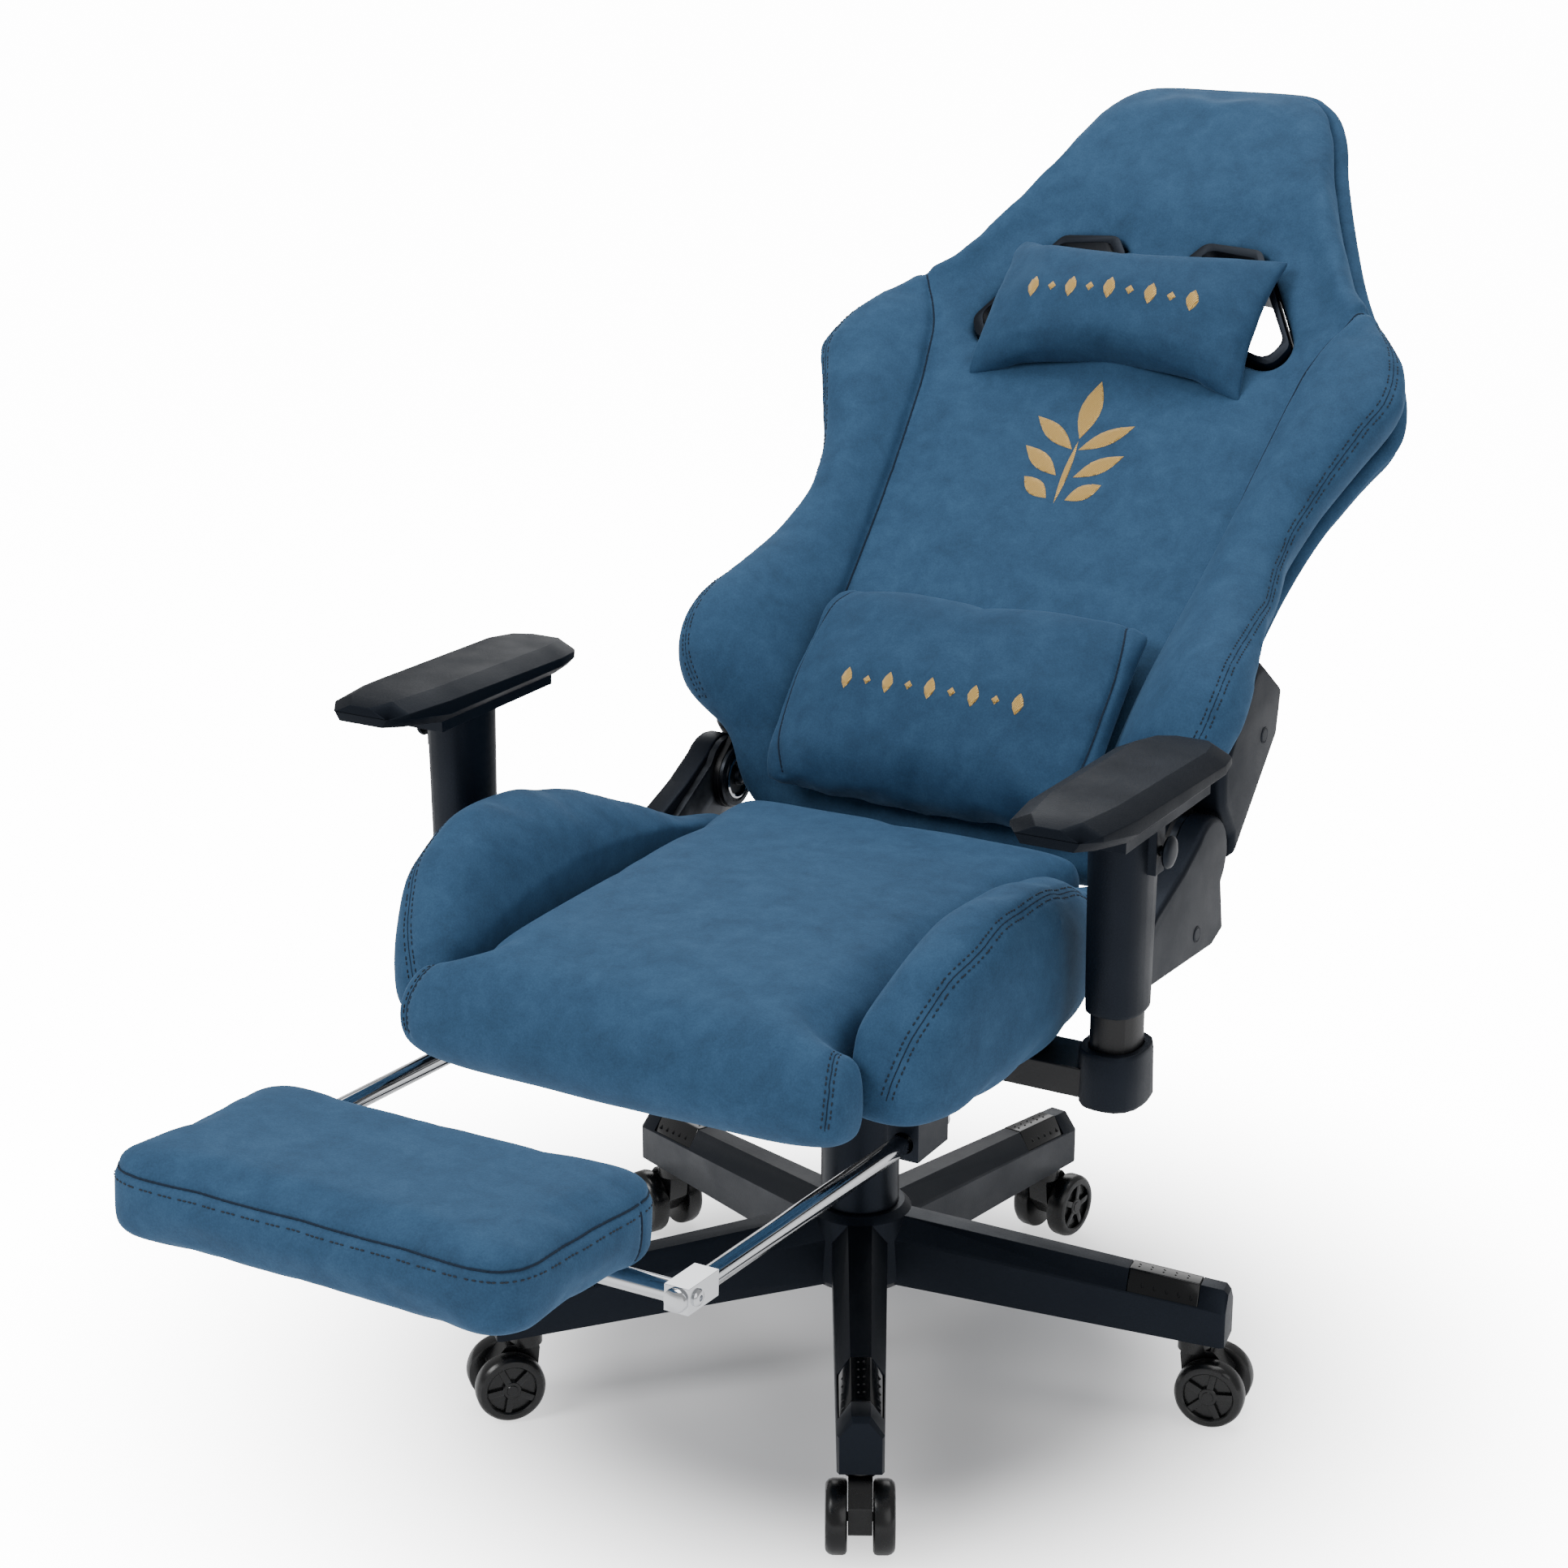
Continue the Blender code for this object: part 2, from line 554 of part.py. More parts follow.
# The back's own rows, up from the pivot: height, half width of the body, half width over the wings,
# wing height, seam half width, height of the middle panel
BACK_ROWS = (
    (-0.045, 0.160, 0.165, 0.012, 0.120, 0.004),
    (-0.020, 0.190, 0.200, 0.034, 0.132, 0.010),
    (0.012, 0.205, 0.2125, 0.062, 0.138, 0.014),
    (0.032, 0.2120, 0.254, 0.094, 0.143, 0.017),
    (0.058, 0.2135, 0.268, 0.118, 0.147, 0.019),
    (0.092, 0.2135, 0.274, 0.127, 0.150, 0.019),
    (0.130, 0.2135, 0.271, 0.120, 0.153, 0.018),
    (0.176, 0.2135, 0.264, 0.096, 0.157, 0.014),
    (0.226, 0.216, 0.258, 0.070, 0.161, 0.010),
    (0.285, 0.224, 0.250, 0.054, 0.166, 0.006),
    (0.345, 0.238, 0.262, 0.049, 0.171, 0.003),
    (0.410, 0.262, 0.287, 0.051, 0.177, 0.001),
    (0.455, 0.282, 0.305, 0.049, 0.181, 0.000),
    (0.505, 0.268, 0.288, 0.040, 0.188, 0.000),
    (0.550, 0.236, 0.250, 0.029, 0.204, 0.000),
    (0.600, 0.205, 0.213, 0.019, 0.176, -0.001),
    (0.660, 0.177, 0.182, 0.013, 0.144, -0.002),
    (0.730, 0.148, 0.152, 0.007, 0.112, -0.003),
    (0.772, 0.135, 0.138, 0.003, 0.095, -0.005),
    (0.803, 0.121, 0.123, -0.001, 0.082, -0.007),
    (0.821, 0.105, 0.107, -0.005, 0.068, -0.010),
    (0.832, 0.080, 0.082, -0.009, 0.045, -0.012),
)
FRONT_REST = -0.022     # back face of the front cushion
COVER_FRONT = 0.045     # how far forward the hinge covers on the back reach
FLARE_START = 0.02      # between these heights the wings flare out in front of the hinge covers
FLARE_END = 0.20
FRAME_TUBE = 0.0075     # radius of the back frame's tube
FRAME_PLANE = FRONT_REST - FRAME_TUBE - TOUCH
PANEL_REST = FRAME_PLANE - FRAME_TUBE - TOUCH
PANEL_DEPTH = 0.036


def hole_outline(side, grow=0.0):
    """A harness hole: a slanted four-sided opening with round corners, grown outwards by grow."""
    corners = [(0.030, 0.606), (0.045, 0.628), (0.102, 0.624), (0.162, 0.520), (0.150, 0.496), (0.056, 0.524)]
    middle = Vector((sum(c[0] for c in corners) / 6, sum(c[1] for c in corners) / 6))
    points = []
    for corner in corners:
        away = Vector(corner) - middle
        points.append(tuple(middle + away * (1 + grow / away.length)))
    outline = rounded_outline(points, 0.012, 3)
    return [(side * across, up) for across, up in outline]


def back_cushion(axis):
    """The front of the back rest: a sunk middle panel between two wings that stand forward."""
    rings = []
    for up, body, over, wing, seam, panel in BACK_ROWS:
        side = [(body - 0.004, FRONT_REST), (body, FRONT_REST + 0.010)]
        if FLARE_START < up < FLARE_END:
            side += [(body, COVER_FRONT + PLAY), (over, between(COVER_FRONT + PLAY, wing, 0.50))]
        else:
            side += [(between(body, over, 0.6), between(FRONT_REST, wing, 0.45)),
                     (over, between(FRONT_REST, wing, 0.75))]
        side += [(between(over, seam, 0.16), wing), (between(over, seam, 0.48), between(panel, wing, 0.93)),
                 (between(seam, over, 0.14), between(panel, wing, 0.30)), (seam, panel),
                 (seam * 0.55, panel + 0.002)]
        rings.append([(across, up, height) for across, height in mirrored(side)])
    holes = [prism(hole_outline(side, HOLE_GAP), -0.1, 0.1, 2) for side in (1, -1)]
    part("back_cushion", cut(loft(rings), *holes), (FABRIC, 0.9), axis)


def back_panel(axis):
    """The upholstered rear of the back rest."""
    rings = []
    for up, body, over, wing, seam, panel in BACK_ROWS[1:]:
        depth = PANEL_DEPTH * min(1.0, 0.45 + 6 * (BACK_ROWS[-1][0] - up))
        side = [(body - 0.003, PANEL_REST), (body - 0.004, PANEL_REST - depth * 0.5),
                (body - 0.016, PANEL_REST - depth * 0.85), (body * 0.6, PANEL_REST - depth)]
        rings.append([(across, up, height) for across, height in mirrored(side)])
    holes = [prism(hole_outline(side, HOLE_GAP), -0.2, 0.1, 2) for side in (1, -1)]
    part("back_panel", cut(loft(rings), *holes), (FABRIC, 0.9), axis)


def back_frame(axis):
    """The steel frame between the two: a tube hoop, two crossbars, and a pivot tab at each foot."""
    inset = 0.022
    tab_middle = TAB_INNER + TAB_WALL / 2
    rows = [row for row in BACK_ROWS if 0.2 < row[0] < 0.80]
    side = [(tab_middle - 0.012, 0.030)] + [(row[1] - inset, row[0]) for row in rows]
    line = [(across, up, FRAME_PLANE) for across, up in mirrored(side)]
    hoop_curve = bpy.data.curves.new("hoop", "CURVE")
    hoop_curve.dimensions = "3D"
    hoop_curve.bevel_depth = FRAME_TUBE
    hoop_curve.bevel_resolution = 1
    hoop_curve.use_fill_caps = True
    spline = hoop_curve.splines.new("POLY")
    spline.points.add(len(line) - 1)
    for point, place in zip(spline.points, line):
        point.co = (*place, 1)
    holder = bpy.data.objects.new("hoop", hoop_curve)
    hoop = bmesh.new()
    hoop.from_mesh(holder.to_mesh())
    tidy(hoop)
    bpy.data.objects.remove(holder)
    bars = []
    for up in (0.080, 0.420):
        half = along(BACK_ROWS, up)[0] - inset if up > 0.2 else tab_middle - 0.012
        bars.append(rod((-half, up, FRAME_PLANE), (half, up, FRAME_PLANE), FRAME_TUBE - 0.0012, 8))
    tabs = []
    bores = []
    for side_sign in (1, -1):
        inner = side_sign * TAB_INNER
        outer = side_sign * (TAB_INNER + TAB_WALL)
        outline = [(TAB_RADIUS * cos(radians(angle)), TAB_RADIUS * sin(radians(angle)))
                   for angle in range(90, 271, 18)]
        outline += [(0.165, -0.026), (0.190, FRAME_PLANE - 0.004), (0.190, FRAME_PLANE + 0.006),
                    (0.080, 0.018)]
        tabs.append(prism(outline, min(inner, outer), max(inner, outer), 0))
        foot = side_sign * (tab_middle - 0.014)
        tabs.append(block((min(foot, outer), 0.034, FRAME_PLANE - 0.005),
                          (max(foot, outer), 0.150, FRAME_PLANE + 0.005)))
        bores.append(rod((side_sign * 0.20, 0, 0), (side_sign * 0.24, 0, 0), PIVOT_RADIUS + RUNNING, 16))
    part("back_frame", cut(joined(hoop, *bars, *tabs), *bores), ("#26282D", 0.5, 0.6), axis)


def harness_trims(axis):
    """A plastic ring that lines each harness hole from front to back."""
    for name, side in (("left", 1), ("right", -1)):
        ring = prism(hole_outline(side), PANEL_REST - PANEL_DEPTH - 0.001, 0.0035, 2)
        opening = prism(hole_outline(side, -TRIM_WALL), -0.2, 0.1, 2)
        part("harness_trim_" + name, cut(ring, opening), ("#15171B", 0.35), axis)


def pillow_shape(half_width, half_height, thickness, pinch, ear, bow):
    """A pillow: thick in the middle, thin at its seam. Pinch draws its long sides in; bow lifts its ends."""
    rings = []
    for share in (-1.0, -0.9, -0.6, 0.0, 0.6, 0.9, 1.0):
        across = half_width * share
        height = half_height - pinch * (1 - share * share)
        thick = thickness * (0.22 + 0.78 * (1 - abs(share) ** 3.0))
        height -= ear * (abs(share) ** 8)
        lift = bow * share * share
        ring = []
        for up_share, thick_share in ((-1, 0.25), (-0.75, 0.8), (0, 1), (0.75, 0.8), (1, 0.25)):
            ring.append((across, height * up_share, lift + thick * thick_share))
        ring += [(across, height, lift), (across, -height, lift)]
        rings.append(ring)
    return loft(rings)


LUMBAR_REST = 0.0225    # where the panel's surface stands behind the lumbar pillow
HEAD_REST = 0.0045      # and behind the head pillow


def pillows(axis):
    """The head pillow on its strap, and the lumbar pillow, which rides up and down the panel."""
    head = empty("head_pillow_place", (0, 0.527, HEAD_REST + PLAY), (0, 0, 0), axis)
    part("head_pillow", pillow_shape(0.138, 0.082, 0.060, 0.016, 0.004, 0.004), (FABRIC, 0.9), head)
    lumbar = empty("lumbar_pillow_place", (0, 0.0765, LUMBAR_REST + PLAY), (0, 0, 0), axis)
    part("lumbar_pillow", pillow_shape(0.160, 0.110, 0.085, 0.006, 0.010, 0.030), (FABRIC, 0.9), lumbar)


def recliners(axis):
    """At each side: the seat's steel plate with the pivot stud, its cover, and the back's cover."""
    plate_in = TAB_INNER + TAB_WALL + TOUCH
    plate_out = plate_in + PLATE_WALL
    cover_in = plate_out + TOUCH
    flange_top = FRAME_BOTTOM - TOUCH
    for name, side in (("left", 1), ("right", -1)):
        arc = [(PIVOT_Y + PLATE_RADIUS * cos(radians(a)), PIVOT_Z + PLATE_RADIUS * sin(radians(a)))
               for a in range(-30, 151, 20)]
        outline = arc + [(PIVOT_Y - 0.100, PIVOT_Z - 0.020), (PIVOT_Y - 0.120, flange_top - 0.006),
                         (PIVOT_Y + 0.010, flange_top - 0.006)]
        faces = sorted((side * plate_in, side * plate_out))
        upright = prism(outline, *faces, 0)
        inner_x = side * 0.105
        outer_x = side * plate_out
        flange = block((min(inner_x, outer_x), PIVOT_Y - 0.118, flange_top - 0.006),
                       (max(inner_x, outer_x), PIVOT_Y - 0.030, flange_top))
        stud = rod((side * (TAB_INNER - 0.008), PIVOT_Y, PIVOT_Z),
                   (side * (plate_in + 0.003), PIVOT_Y, PIVOT_Z), PIVOT_RADIUS, 16)
        part("recliner_plate_" + name, joined(upright, flange, stud), ("#2A2C31", 0.4, 0.7))

        arc = [(PIVOT_Y + JOINT_RADIUS * cos(radians(a)), PIVOT_Z + JOINT_RADIUS * sin(radians(a)))
               for a in range(-45, 136, 15)]
        outline = arc + [(PIVOT_Y - 0.062, PIVOT_Z + 0.008), (PIVOT_Y - 0.118, PIVOT_Z - 0.014),
                         (PIVOT_Y - 0.178, PIVOT_Z - 0.052), (PIVOT_Y - 0.178, PIVOT_Z - 0.070),
                         (PIVOT_Y + 0.010, PIVOT_Z - 0.082), (PIVOT_Y + 0.034, PIVOT_Z - 0.073)]
        rings = []
        for x, shrink in ((cover_in, 0.0), (COVER_OUTER - 0.004, 0.0), (COVER_OUTER, 0.0035)):
            middle = Vector((PIVOT_Y - 0.03, PIVOT_Z - 0.03))
            ring = []
            for point in outline:
                away = Vector(point) - middle
                inset = middle + away * (1 - shrink / away.length)
                ring.append((side * x, inset.x, inset.y))
            rings.append(ring)
        part("hinge_cover_" + name, loft(rings), (BLACK, 0.5))

        start = JOINT_RADIUS + 0.004
        outline = [(0.010, start), (-0.012, start - 0.002), (-0.030, 0.037), (-0.046, 0.024), (-0.050, 0.155),
                   (-0.026, 0.188), (0.030, 0.178), (0.043, 0.165), (COVER_FRONT, 0.120), (0.036, 0.062)]
        rings = []
        for x, shrink in ((plate_in + TOUCH, 0.0), (COVER_OUTER - 0.006, 0.0), (COVER_OUTER, 0.006)):
            middle = Vector((0.0, 0.105))
            ring = []
            for point in outline:
                away = Vector(point) - middle
                inset = middle + away * (1 - shrink / away.length)
                ring.append((side * x, inset.y, inset.x))
            rings.append(ring)
        part("back_cover_" + name, loft(rings), (BLACK, 0.5), axis)


def recline_lever():
    """The flat lever on the sitter's right that frees the back."""
    pivot = empty("recline_lever_pivot", (-COVER_OUTER - RUNNING, PIVOT_Y - 0.052, PIVOT_Z - 0.044))
    outline = rounded_outline([(0.012, -0.012), (0.012, 0.012), (-0.060, 0.030), (-0.150, 0.052),
                               (-0.158, 0.030), (-0.060, 0.006)], 0.008, 3)
    shape = prism(outline, -0.009, 0.0, 0)
    part("recline_lever", shape, (BLACK, 0.45), pivot)


def armrests():
    """At each side: bracket and post, bottom collar, sliding sleeve, pad and height button."""
    flange_top = FRAME_BOTTOM - TOUCH
    for name, side in (("left", 1), ("right", -1)):
        centre = (side * ARMREST_X, ARMREST_Y)

        def spans(low_x, high_x, low_y, high_y, low_z, high_z):
            return block((min(side * low_x, side * high_x), low_y, low_z),
                         (max(side * low_x, side * high_x), high_y, high_z))

        tongue = spans(0.118, 0.216, ARMREST_Y - 0.034, ARMREST_Y + 0.034, flange_top - 0.005, flange_top)
        beam = spans(0.212, ARMREST_X - 0.012, ARMREST_Y - BEAM_HALF, ARMREST_Y + BEAM_HALF,
                     flange_top - BEAM_DEPTH, flange_top)
        post = loft([oval(POST_HALF, level, centre=centre) for level in (flange_top - BEAM_DEPTH, POST_TOP)])
        part("arm_bracket_" + name, joined(post, beam, tongue), ("#1A1C20", 0.4, 0.3))

        collar_inner = [half + TOUCH for half in POST_HALF]
        collar = loft([oval([half * scale for half in COLLAR_HALF], level, centre=centre)
                       for level, scale in ((COLLAR_BOTTOM, 0.97), (COLLAR_BOTTOM + 0.004, 1.03),
                                            (COLLAR_TOP - 0.004, 1.0), (COLLAR_TOP, 0.97))])
        hollow = loft([oval(collar_inner, level, centre=centre) for level in (COLLAR_BOTTOM + 0.003, 0.5)])
        slot = spans(0.20, ARMREST_X, ARMREST_Y - BEAM_HALF - TOUCH, ARMREST_Y + BEAM_HALF + TOUCH,
                     COLLAR_BOTTOM - 0.01, flange_top + TOUCH)
        part("arm_collar_" + name, cut(collar, hollow, slot), (BLACK, 0.5))

        sleeve_inner = [half + RUNNING for half in POST_HALF]
        sleeve = loft([oval([half * scale for half in SLEEVE_HALF], level, centre=centre)
                       for level, scale in ((SLEEVE_BOTTOM, 0.96), (SLEEVE_BOTTOM + 0.003, 0.99),
                                            (SLEEVE_TOP - 0.010, 1.06), (SLEEVE_TOP, 1.06))])
        plate = block((centre[0] - 0.034, centre[1] - 0.075, SLEEVE_TOP - 0.002),
                      (centre[0] + 0.034, centre[1] + 0.085, PAD_BOTTOM - TOUCH))
        hollow = loft([oval(sleeve_inner, level, centre=centre) for level in (0.3, SLEEVE_TOP - 0.004)])
        outer_x = ARMREST_X + SLEEVE_HALF[0] * 1.06
        clip = spans(outer_x - 0.003, outer_x + 0.006, ARMREST_Y - 0.008, ARMREST_Y + 0.008,
                     BUTTON_Z - 0.018, SLEEVE_TOP)

        def across_at(start, end, radius, sides):
            """A round bar along X at the button, from start to end beyond the sleeve's side."""
            return rod((side * (outer_x + start), ARMREST_Y, BUTTON_Z),
                       (side * (outer_x + end), ARMREST_Y, BUTTON_Z), radius, sides)

        button_bore = across_at(-0.004, 0.05, BUTTON_STEM + RUNNING, 12)
        part("arm_sleeve_" + name, cut(joined(sleeve, plate, clip), hollow, button_bore), (BLACK, 0.5))

        button = joined(across_at(TOUCH, 0.012, BUTTON_STEM, 12), across_at(0.0105, 0.017, BUTTON_RADIUS, 20))
        part("arm_button_" + name, button, ("#15171A", 0.35))

        # Rows of the pad, front to back: Y from the post, half width, drop of the top, rise of the underside
        rows = ((-0.138, 0.026, 0.004, 0.009), (-0.122, 0.037, 0.001, 0.007), (-0.076, 0.044, 0.001, 0.0),
                (0.085, 0.046, 0.005, 0.0), (0.112, 0.040, 0.007, 0.0), (0.128, 0.030, 0.010, 0.0))
        rings = []
        for y, half, drop, rise in rows:
            top = PAD_TOP - drop
            side_points = [(half * 0.80, PAD_BOTTOM + rise), (half, PAD_BOTTOM + 0.008 + rise),
                           (half * 0.99, top - 0.008), (half - 0.017, top)]
            rings.append([(centre[0] + across, centre[1] + y, height)
                          for across, height in mirrored(side_points)])
        part("arm_pad_" + name, loft(rings), (BLACK, 0.6))


def footrest_frame(axis):
    """Two chrome rods and a crossbar in one, with a square end block at each corner."""
    start = ROD_RADIUS + 0.004
    rods = [rod((side * ROD_X, start, 0), (side * ROD_X, ROD_LENGTH, 0), ROD_RADIUS, 16) for side in (1, -1)]
    blocks = [block((side * ROD_X - END_BLOCK, -END_BLOCK - 0.0015, -END_BLOCK),
                    (side * ROD_X + END_BLOCK, start + 0.016, END_BLOCK)) for side in (1, -1)]
    crossbar = rod((-ROD_X, 0, 0), (ROD_X, 0, 0), ROD_RADIUS, 16)
    part("footrest_frame", joined(crossbar, *rods, *blocks), ("#D8DADD", 0.08, 1.0), axis)


def footrest_guides(axis):
    """The bridge under the seat frame that the two rods slide through."""
    low, high = (y - CROSSBAR_Y for y in GUIDE_Y)
    top = FRAME_BOTTOM - TOUCH
    reach = ROD_X + GUIDE_HALF + 0.001
    bridge = block((-reach, GUIDE_Y[0], top - 0.004), (reach, GUIDE_Y[1], top))
    boxes = []
    bores = []
    for side in (1, -1):
        boxes.append(block((side * ROD_X - GUIDE_HALF, GUIDE_Y[0], GUIDE_BOTTOM),
                           (side * ROD_X + GUIDE_HALF, GUIDE_Y[1], top - 0.002)))
        bore = rod((side * ROD_X, low - 0.03, 0), (side * ROD_X, high + 0.03, 0), ROD_RADIUS + RUNNING, 16)
        bmesh.ops.transform(bore, matrix=axis.matrix_basis, verts=bore.verts)
        bores.append(bore)
    part("footrest_guides", cut(joined(bridge, *boxes), *bores), (BLACK, 0.5))


def footrest_pad(axis):
    """The footrest's pad on its steel bracket, whose two saddles turn on the crossbar."""
    saddle = ROD_RADIUS + RUNNING
    plate_low = saddle + 0.0004
    plate_high = plate_low + 0.0030
    plate = block((-0.110, -0.130, plate_low), (0.110, 0.014, plate_high))
    sleeves = []
    for x in (-SADDLE_X, SADDLE_X):
        sleeves.append(rod((x - SADDLE_HALF, 0, 0), (x + SADDLE_HALF, 0, 0), saddle + SADDLE_WALL, 20))
        sleeves.append(block((x - SADDLE_HALF, -0.005, 0), (x + SADDLE_HALF, 0.005, plate_low + 0.001)))
    bore = rod((-0.2, 0, 0), (0.2, 0, 0), saddle, 16)
    part("footrest_bracket", cut(joined(plate, *sleeves), bore), ("#3A3D42", 0.4, 0.8), axis)

    low = plate_high + TOUCH
    high = low + FOOT_PAD_THICK
    front = FOOT_PAD_REAR - FOOT_PAD_DEPTH
    rings = []
    for height, inset in ((low, 0.006), (low + 0.008, 0.0), (high - 0.010, 0.0), (high, 0.010)):
        half = FOOT_PAD_HALF - inset
        corners = [(-half, front + inset), (half, front + inset), (half, FOOT_PAD_REAR - inset),
                   (-half, FOOT_PAD_REAR - inset)]
        rings.append([(x, y, height) for x, y in rounded_outline(corners, 0.030 - inset / 2, 4)])
    part("footrest_pad", loft(rings), (FABRIC, 0.9), axis)


def main():
    clear_scene()
    star_base()
    foot_caps()
    casters()
    gas_column()
    mechanism()
    seat_frame()
    seat_cushion()
    seat_bolsters()
    back_axis = empty("back_axis", (0, PIVOT_Y, PIVOT_Z), (radians(90 - BACK_LEAN), 0, 0))
    back_cushion(back_axis)
    back_panel(back_axis)
    back_frame(back_axis)
    harness_trims(back_axis)
    pillows(back_axis)
    recliners(back_axis)
    recline_lever()
    armrests()
    rod_axis = empty("footrest_rod_axis", (0, CROSSBAR_Y, CROSSBAR_Z), (radians(-ROD_RISE), 0, 0))
    footrest_frame(rod_axis)
    footrest_guides(rod_axis)
    pad_axis = empty("footrest_pad_axis", (0, CROSSBAR_Y, CROSSBAR_Z), (radians(-FOOT_PAD_RISE), 0, 0))
    footrest_pad(pad_axis)


main()
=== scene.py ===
"""The gaming chair's looks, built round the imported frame: upholstery, stitching, trims and materials.

The chair faces -Y, the sitter's left is at +X, and everything is in metres.
"""

import json
from math import cos, pi, radians, sin

import bmesh
import bpy
import numpy as np
from mathutils import Matrix, Vector
from mathutils.bvhtree import BVHTree
from mathutils.kdtree import KDTree


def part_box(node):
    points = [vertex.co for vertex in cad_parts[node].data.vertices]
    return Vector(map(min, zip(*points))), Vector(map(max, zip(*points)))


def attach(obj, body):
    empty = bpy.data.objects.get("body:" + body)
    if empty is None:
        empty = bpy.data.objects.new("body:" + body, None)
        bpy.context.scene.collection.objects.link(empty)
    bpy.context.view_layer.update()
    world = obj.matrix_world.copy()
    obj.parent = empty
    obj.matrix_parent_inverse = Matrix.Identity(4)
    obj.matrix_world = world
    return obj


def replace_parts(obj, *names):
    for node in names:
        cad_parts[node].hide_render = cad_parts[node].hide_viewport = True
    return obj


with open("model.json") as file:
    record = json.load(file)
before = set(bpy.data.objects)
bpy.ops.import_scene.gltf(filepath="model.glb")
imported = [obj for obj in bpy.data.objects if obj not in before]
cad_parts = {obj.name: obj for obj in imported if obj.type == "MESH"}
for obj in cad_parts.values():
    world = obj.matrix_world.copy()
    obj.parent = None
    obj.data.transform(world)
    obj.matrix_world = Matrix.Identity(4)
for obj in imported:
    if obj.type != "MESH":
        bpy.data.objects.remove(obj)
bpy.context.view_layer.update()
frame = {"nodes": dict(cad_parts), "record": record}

RECORD = frame["record"]
JOINTS = {joint["name"]: joint for joint in RECORD["behaviour"]["joints"]}
BODY_OF = {node: body for body, nodes in RECORD["behaviour"]["bodies"].items() for node in nodes}
SIDES = (("left", 1), ("right", -1))

# The back rest's own directions: across is X, up runs along it, out points to the sitter
PIVOT = Vector(JOINTS["back_recline"]["pos_m"])
BACK_UP = Vector(JOINTS["lumbar_pillow_slide"]["axis"]).normalized()
BACK_OUT = Vector((1, 0, 0)).cross(BACK_UP)

# Stitching
STITCH_PITCH = 0.0052
STITCH_LENGTH = 0.0037
STITCH_RADIUS = 0.00072
ROW_GAP = 0.0085        # between the two rows of a double seam
CREASE_RADIUS = 0.00045
LONGEST_STEP = 0.03     # between two neighbours on a seam line
STUFFING_FRAMES = 16    # frames of the cloth simulation that blows the cushions up


def on_back(across, up, out):
    """The place given in the back rest's own directions, from the recline pivot."""
    return PIVOT + Vector((across, 0, 0)) + BACK_UP * up + BACK_OUT * out


# ---------------------------------------------------------------- materials

def linear(code):
    """The linear colour of an sRGB hex code."""
    parts = [int(code[i:i + 2], 16) / 255 for i in (1, 3, 5)]
    return [c / 12.92 if c <= 0.04045 else ((c + 0.055) / 1.055) ** 2.4 for c in parts] + [1.0]


def add(tree, kind, inputs=None, **settings):
    """Adds a node with its settings. An input is a value, or the socket that feeds it."""
    made = tree.nodes.new(kind)
    for name, value in settings.items():
        setattr(made, name, value)
    for name, value in (inputs or {}).items():
        if isinstance(value, bpy.types.NodeSocket):
            tree.links.new(value, made.inputs[name])
        else:
            made.inputs[name].default_value = value
    return made


def start_material(name, colour, roughness, metallic=0.0, **sockets):
    """A Principled material and its tree. Socket names are written with _ for a space."""
    material = bpy.data.materials.new(name)
    material.use_nodes = True
    tree = material.node_tree
    shader = tree.nodes["Principled BSDF"]
    shader.inputs["Base Color"].default_value = linear(colour)
    shader.inputs["Roughness"].default_value = roughness
    shader.inputs["Metallic"].default_value = metallic
    for socket, value in sockets.items():
        shader.inputs[socket.replace("_", " ")].default_value = value
    return material, tree, shader


def coordinates(tree):
    return add(tree, "ShaderNodeTexCoord").outputs["Object"]


def grain(tree, size, detail=2.0, roughness=0.5, distortion=0.0):
    """Noise whose lumps are about size metres wide, on the piece's own coordinates."""
    return add(tree, "ShaderNodeTexNoise", {"Vector": coordinates(tree), "Scale": 1 / size, "Detail": detail,
                                            "Roughness": roughness, "Distortion": distortion}).outputs["Fac"]


def spread(tree, factor, stops):
    """Colours spread over a factor, from (place, hex) stops."""
    ramp = add(tree, "ShaderNodeValToRGB", {"Fac": factor})
    for element, (place, code) in zip(ramp.color_ramp.elements, (stops[0], stops[-1])):
        element.position = place
        element.color = linear(code)
    for place, code in stops[1:-1]:
        ramp.color_ramp.elements.new(place).color = linear(code)
    return ramp.outputs["Color"]


def raised(tree, shader, height, strength, distance):
    bump = add(tree, "ShaderNodeBump", {"Height": height, "Strength": strength, "Distance": distance})
    tree.links.new(bump.outputs["Normal"], shader.inputs["Normal"])


def roughness_range(tree, shader, factor, low, high):
    span = add(tree, "ShaderNodeMapRange", {"Value": factor, "From Min": 0.3, "From Max": 0.7,
                                            "To Min": low, "To Max": high})
    tree.links.new(span.outputs["Result"], shader.inputs["Roughness"])


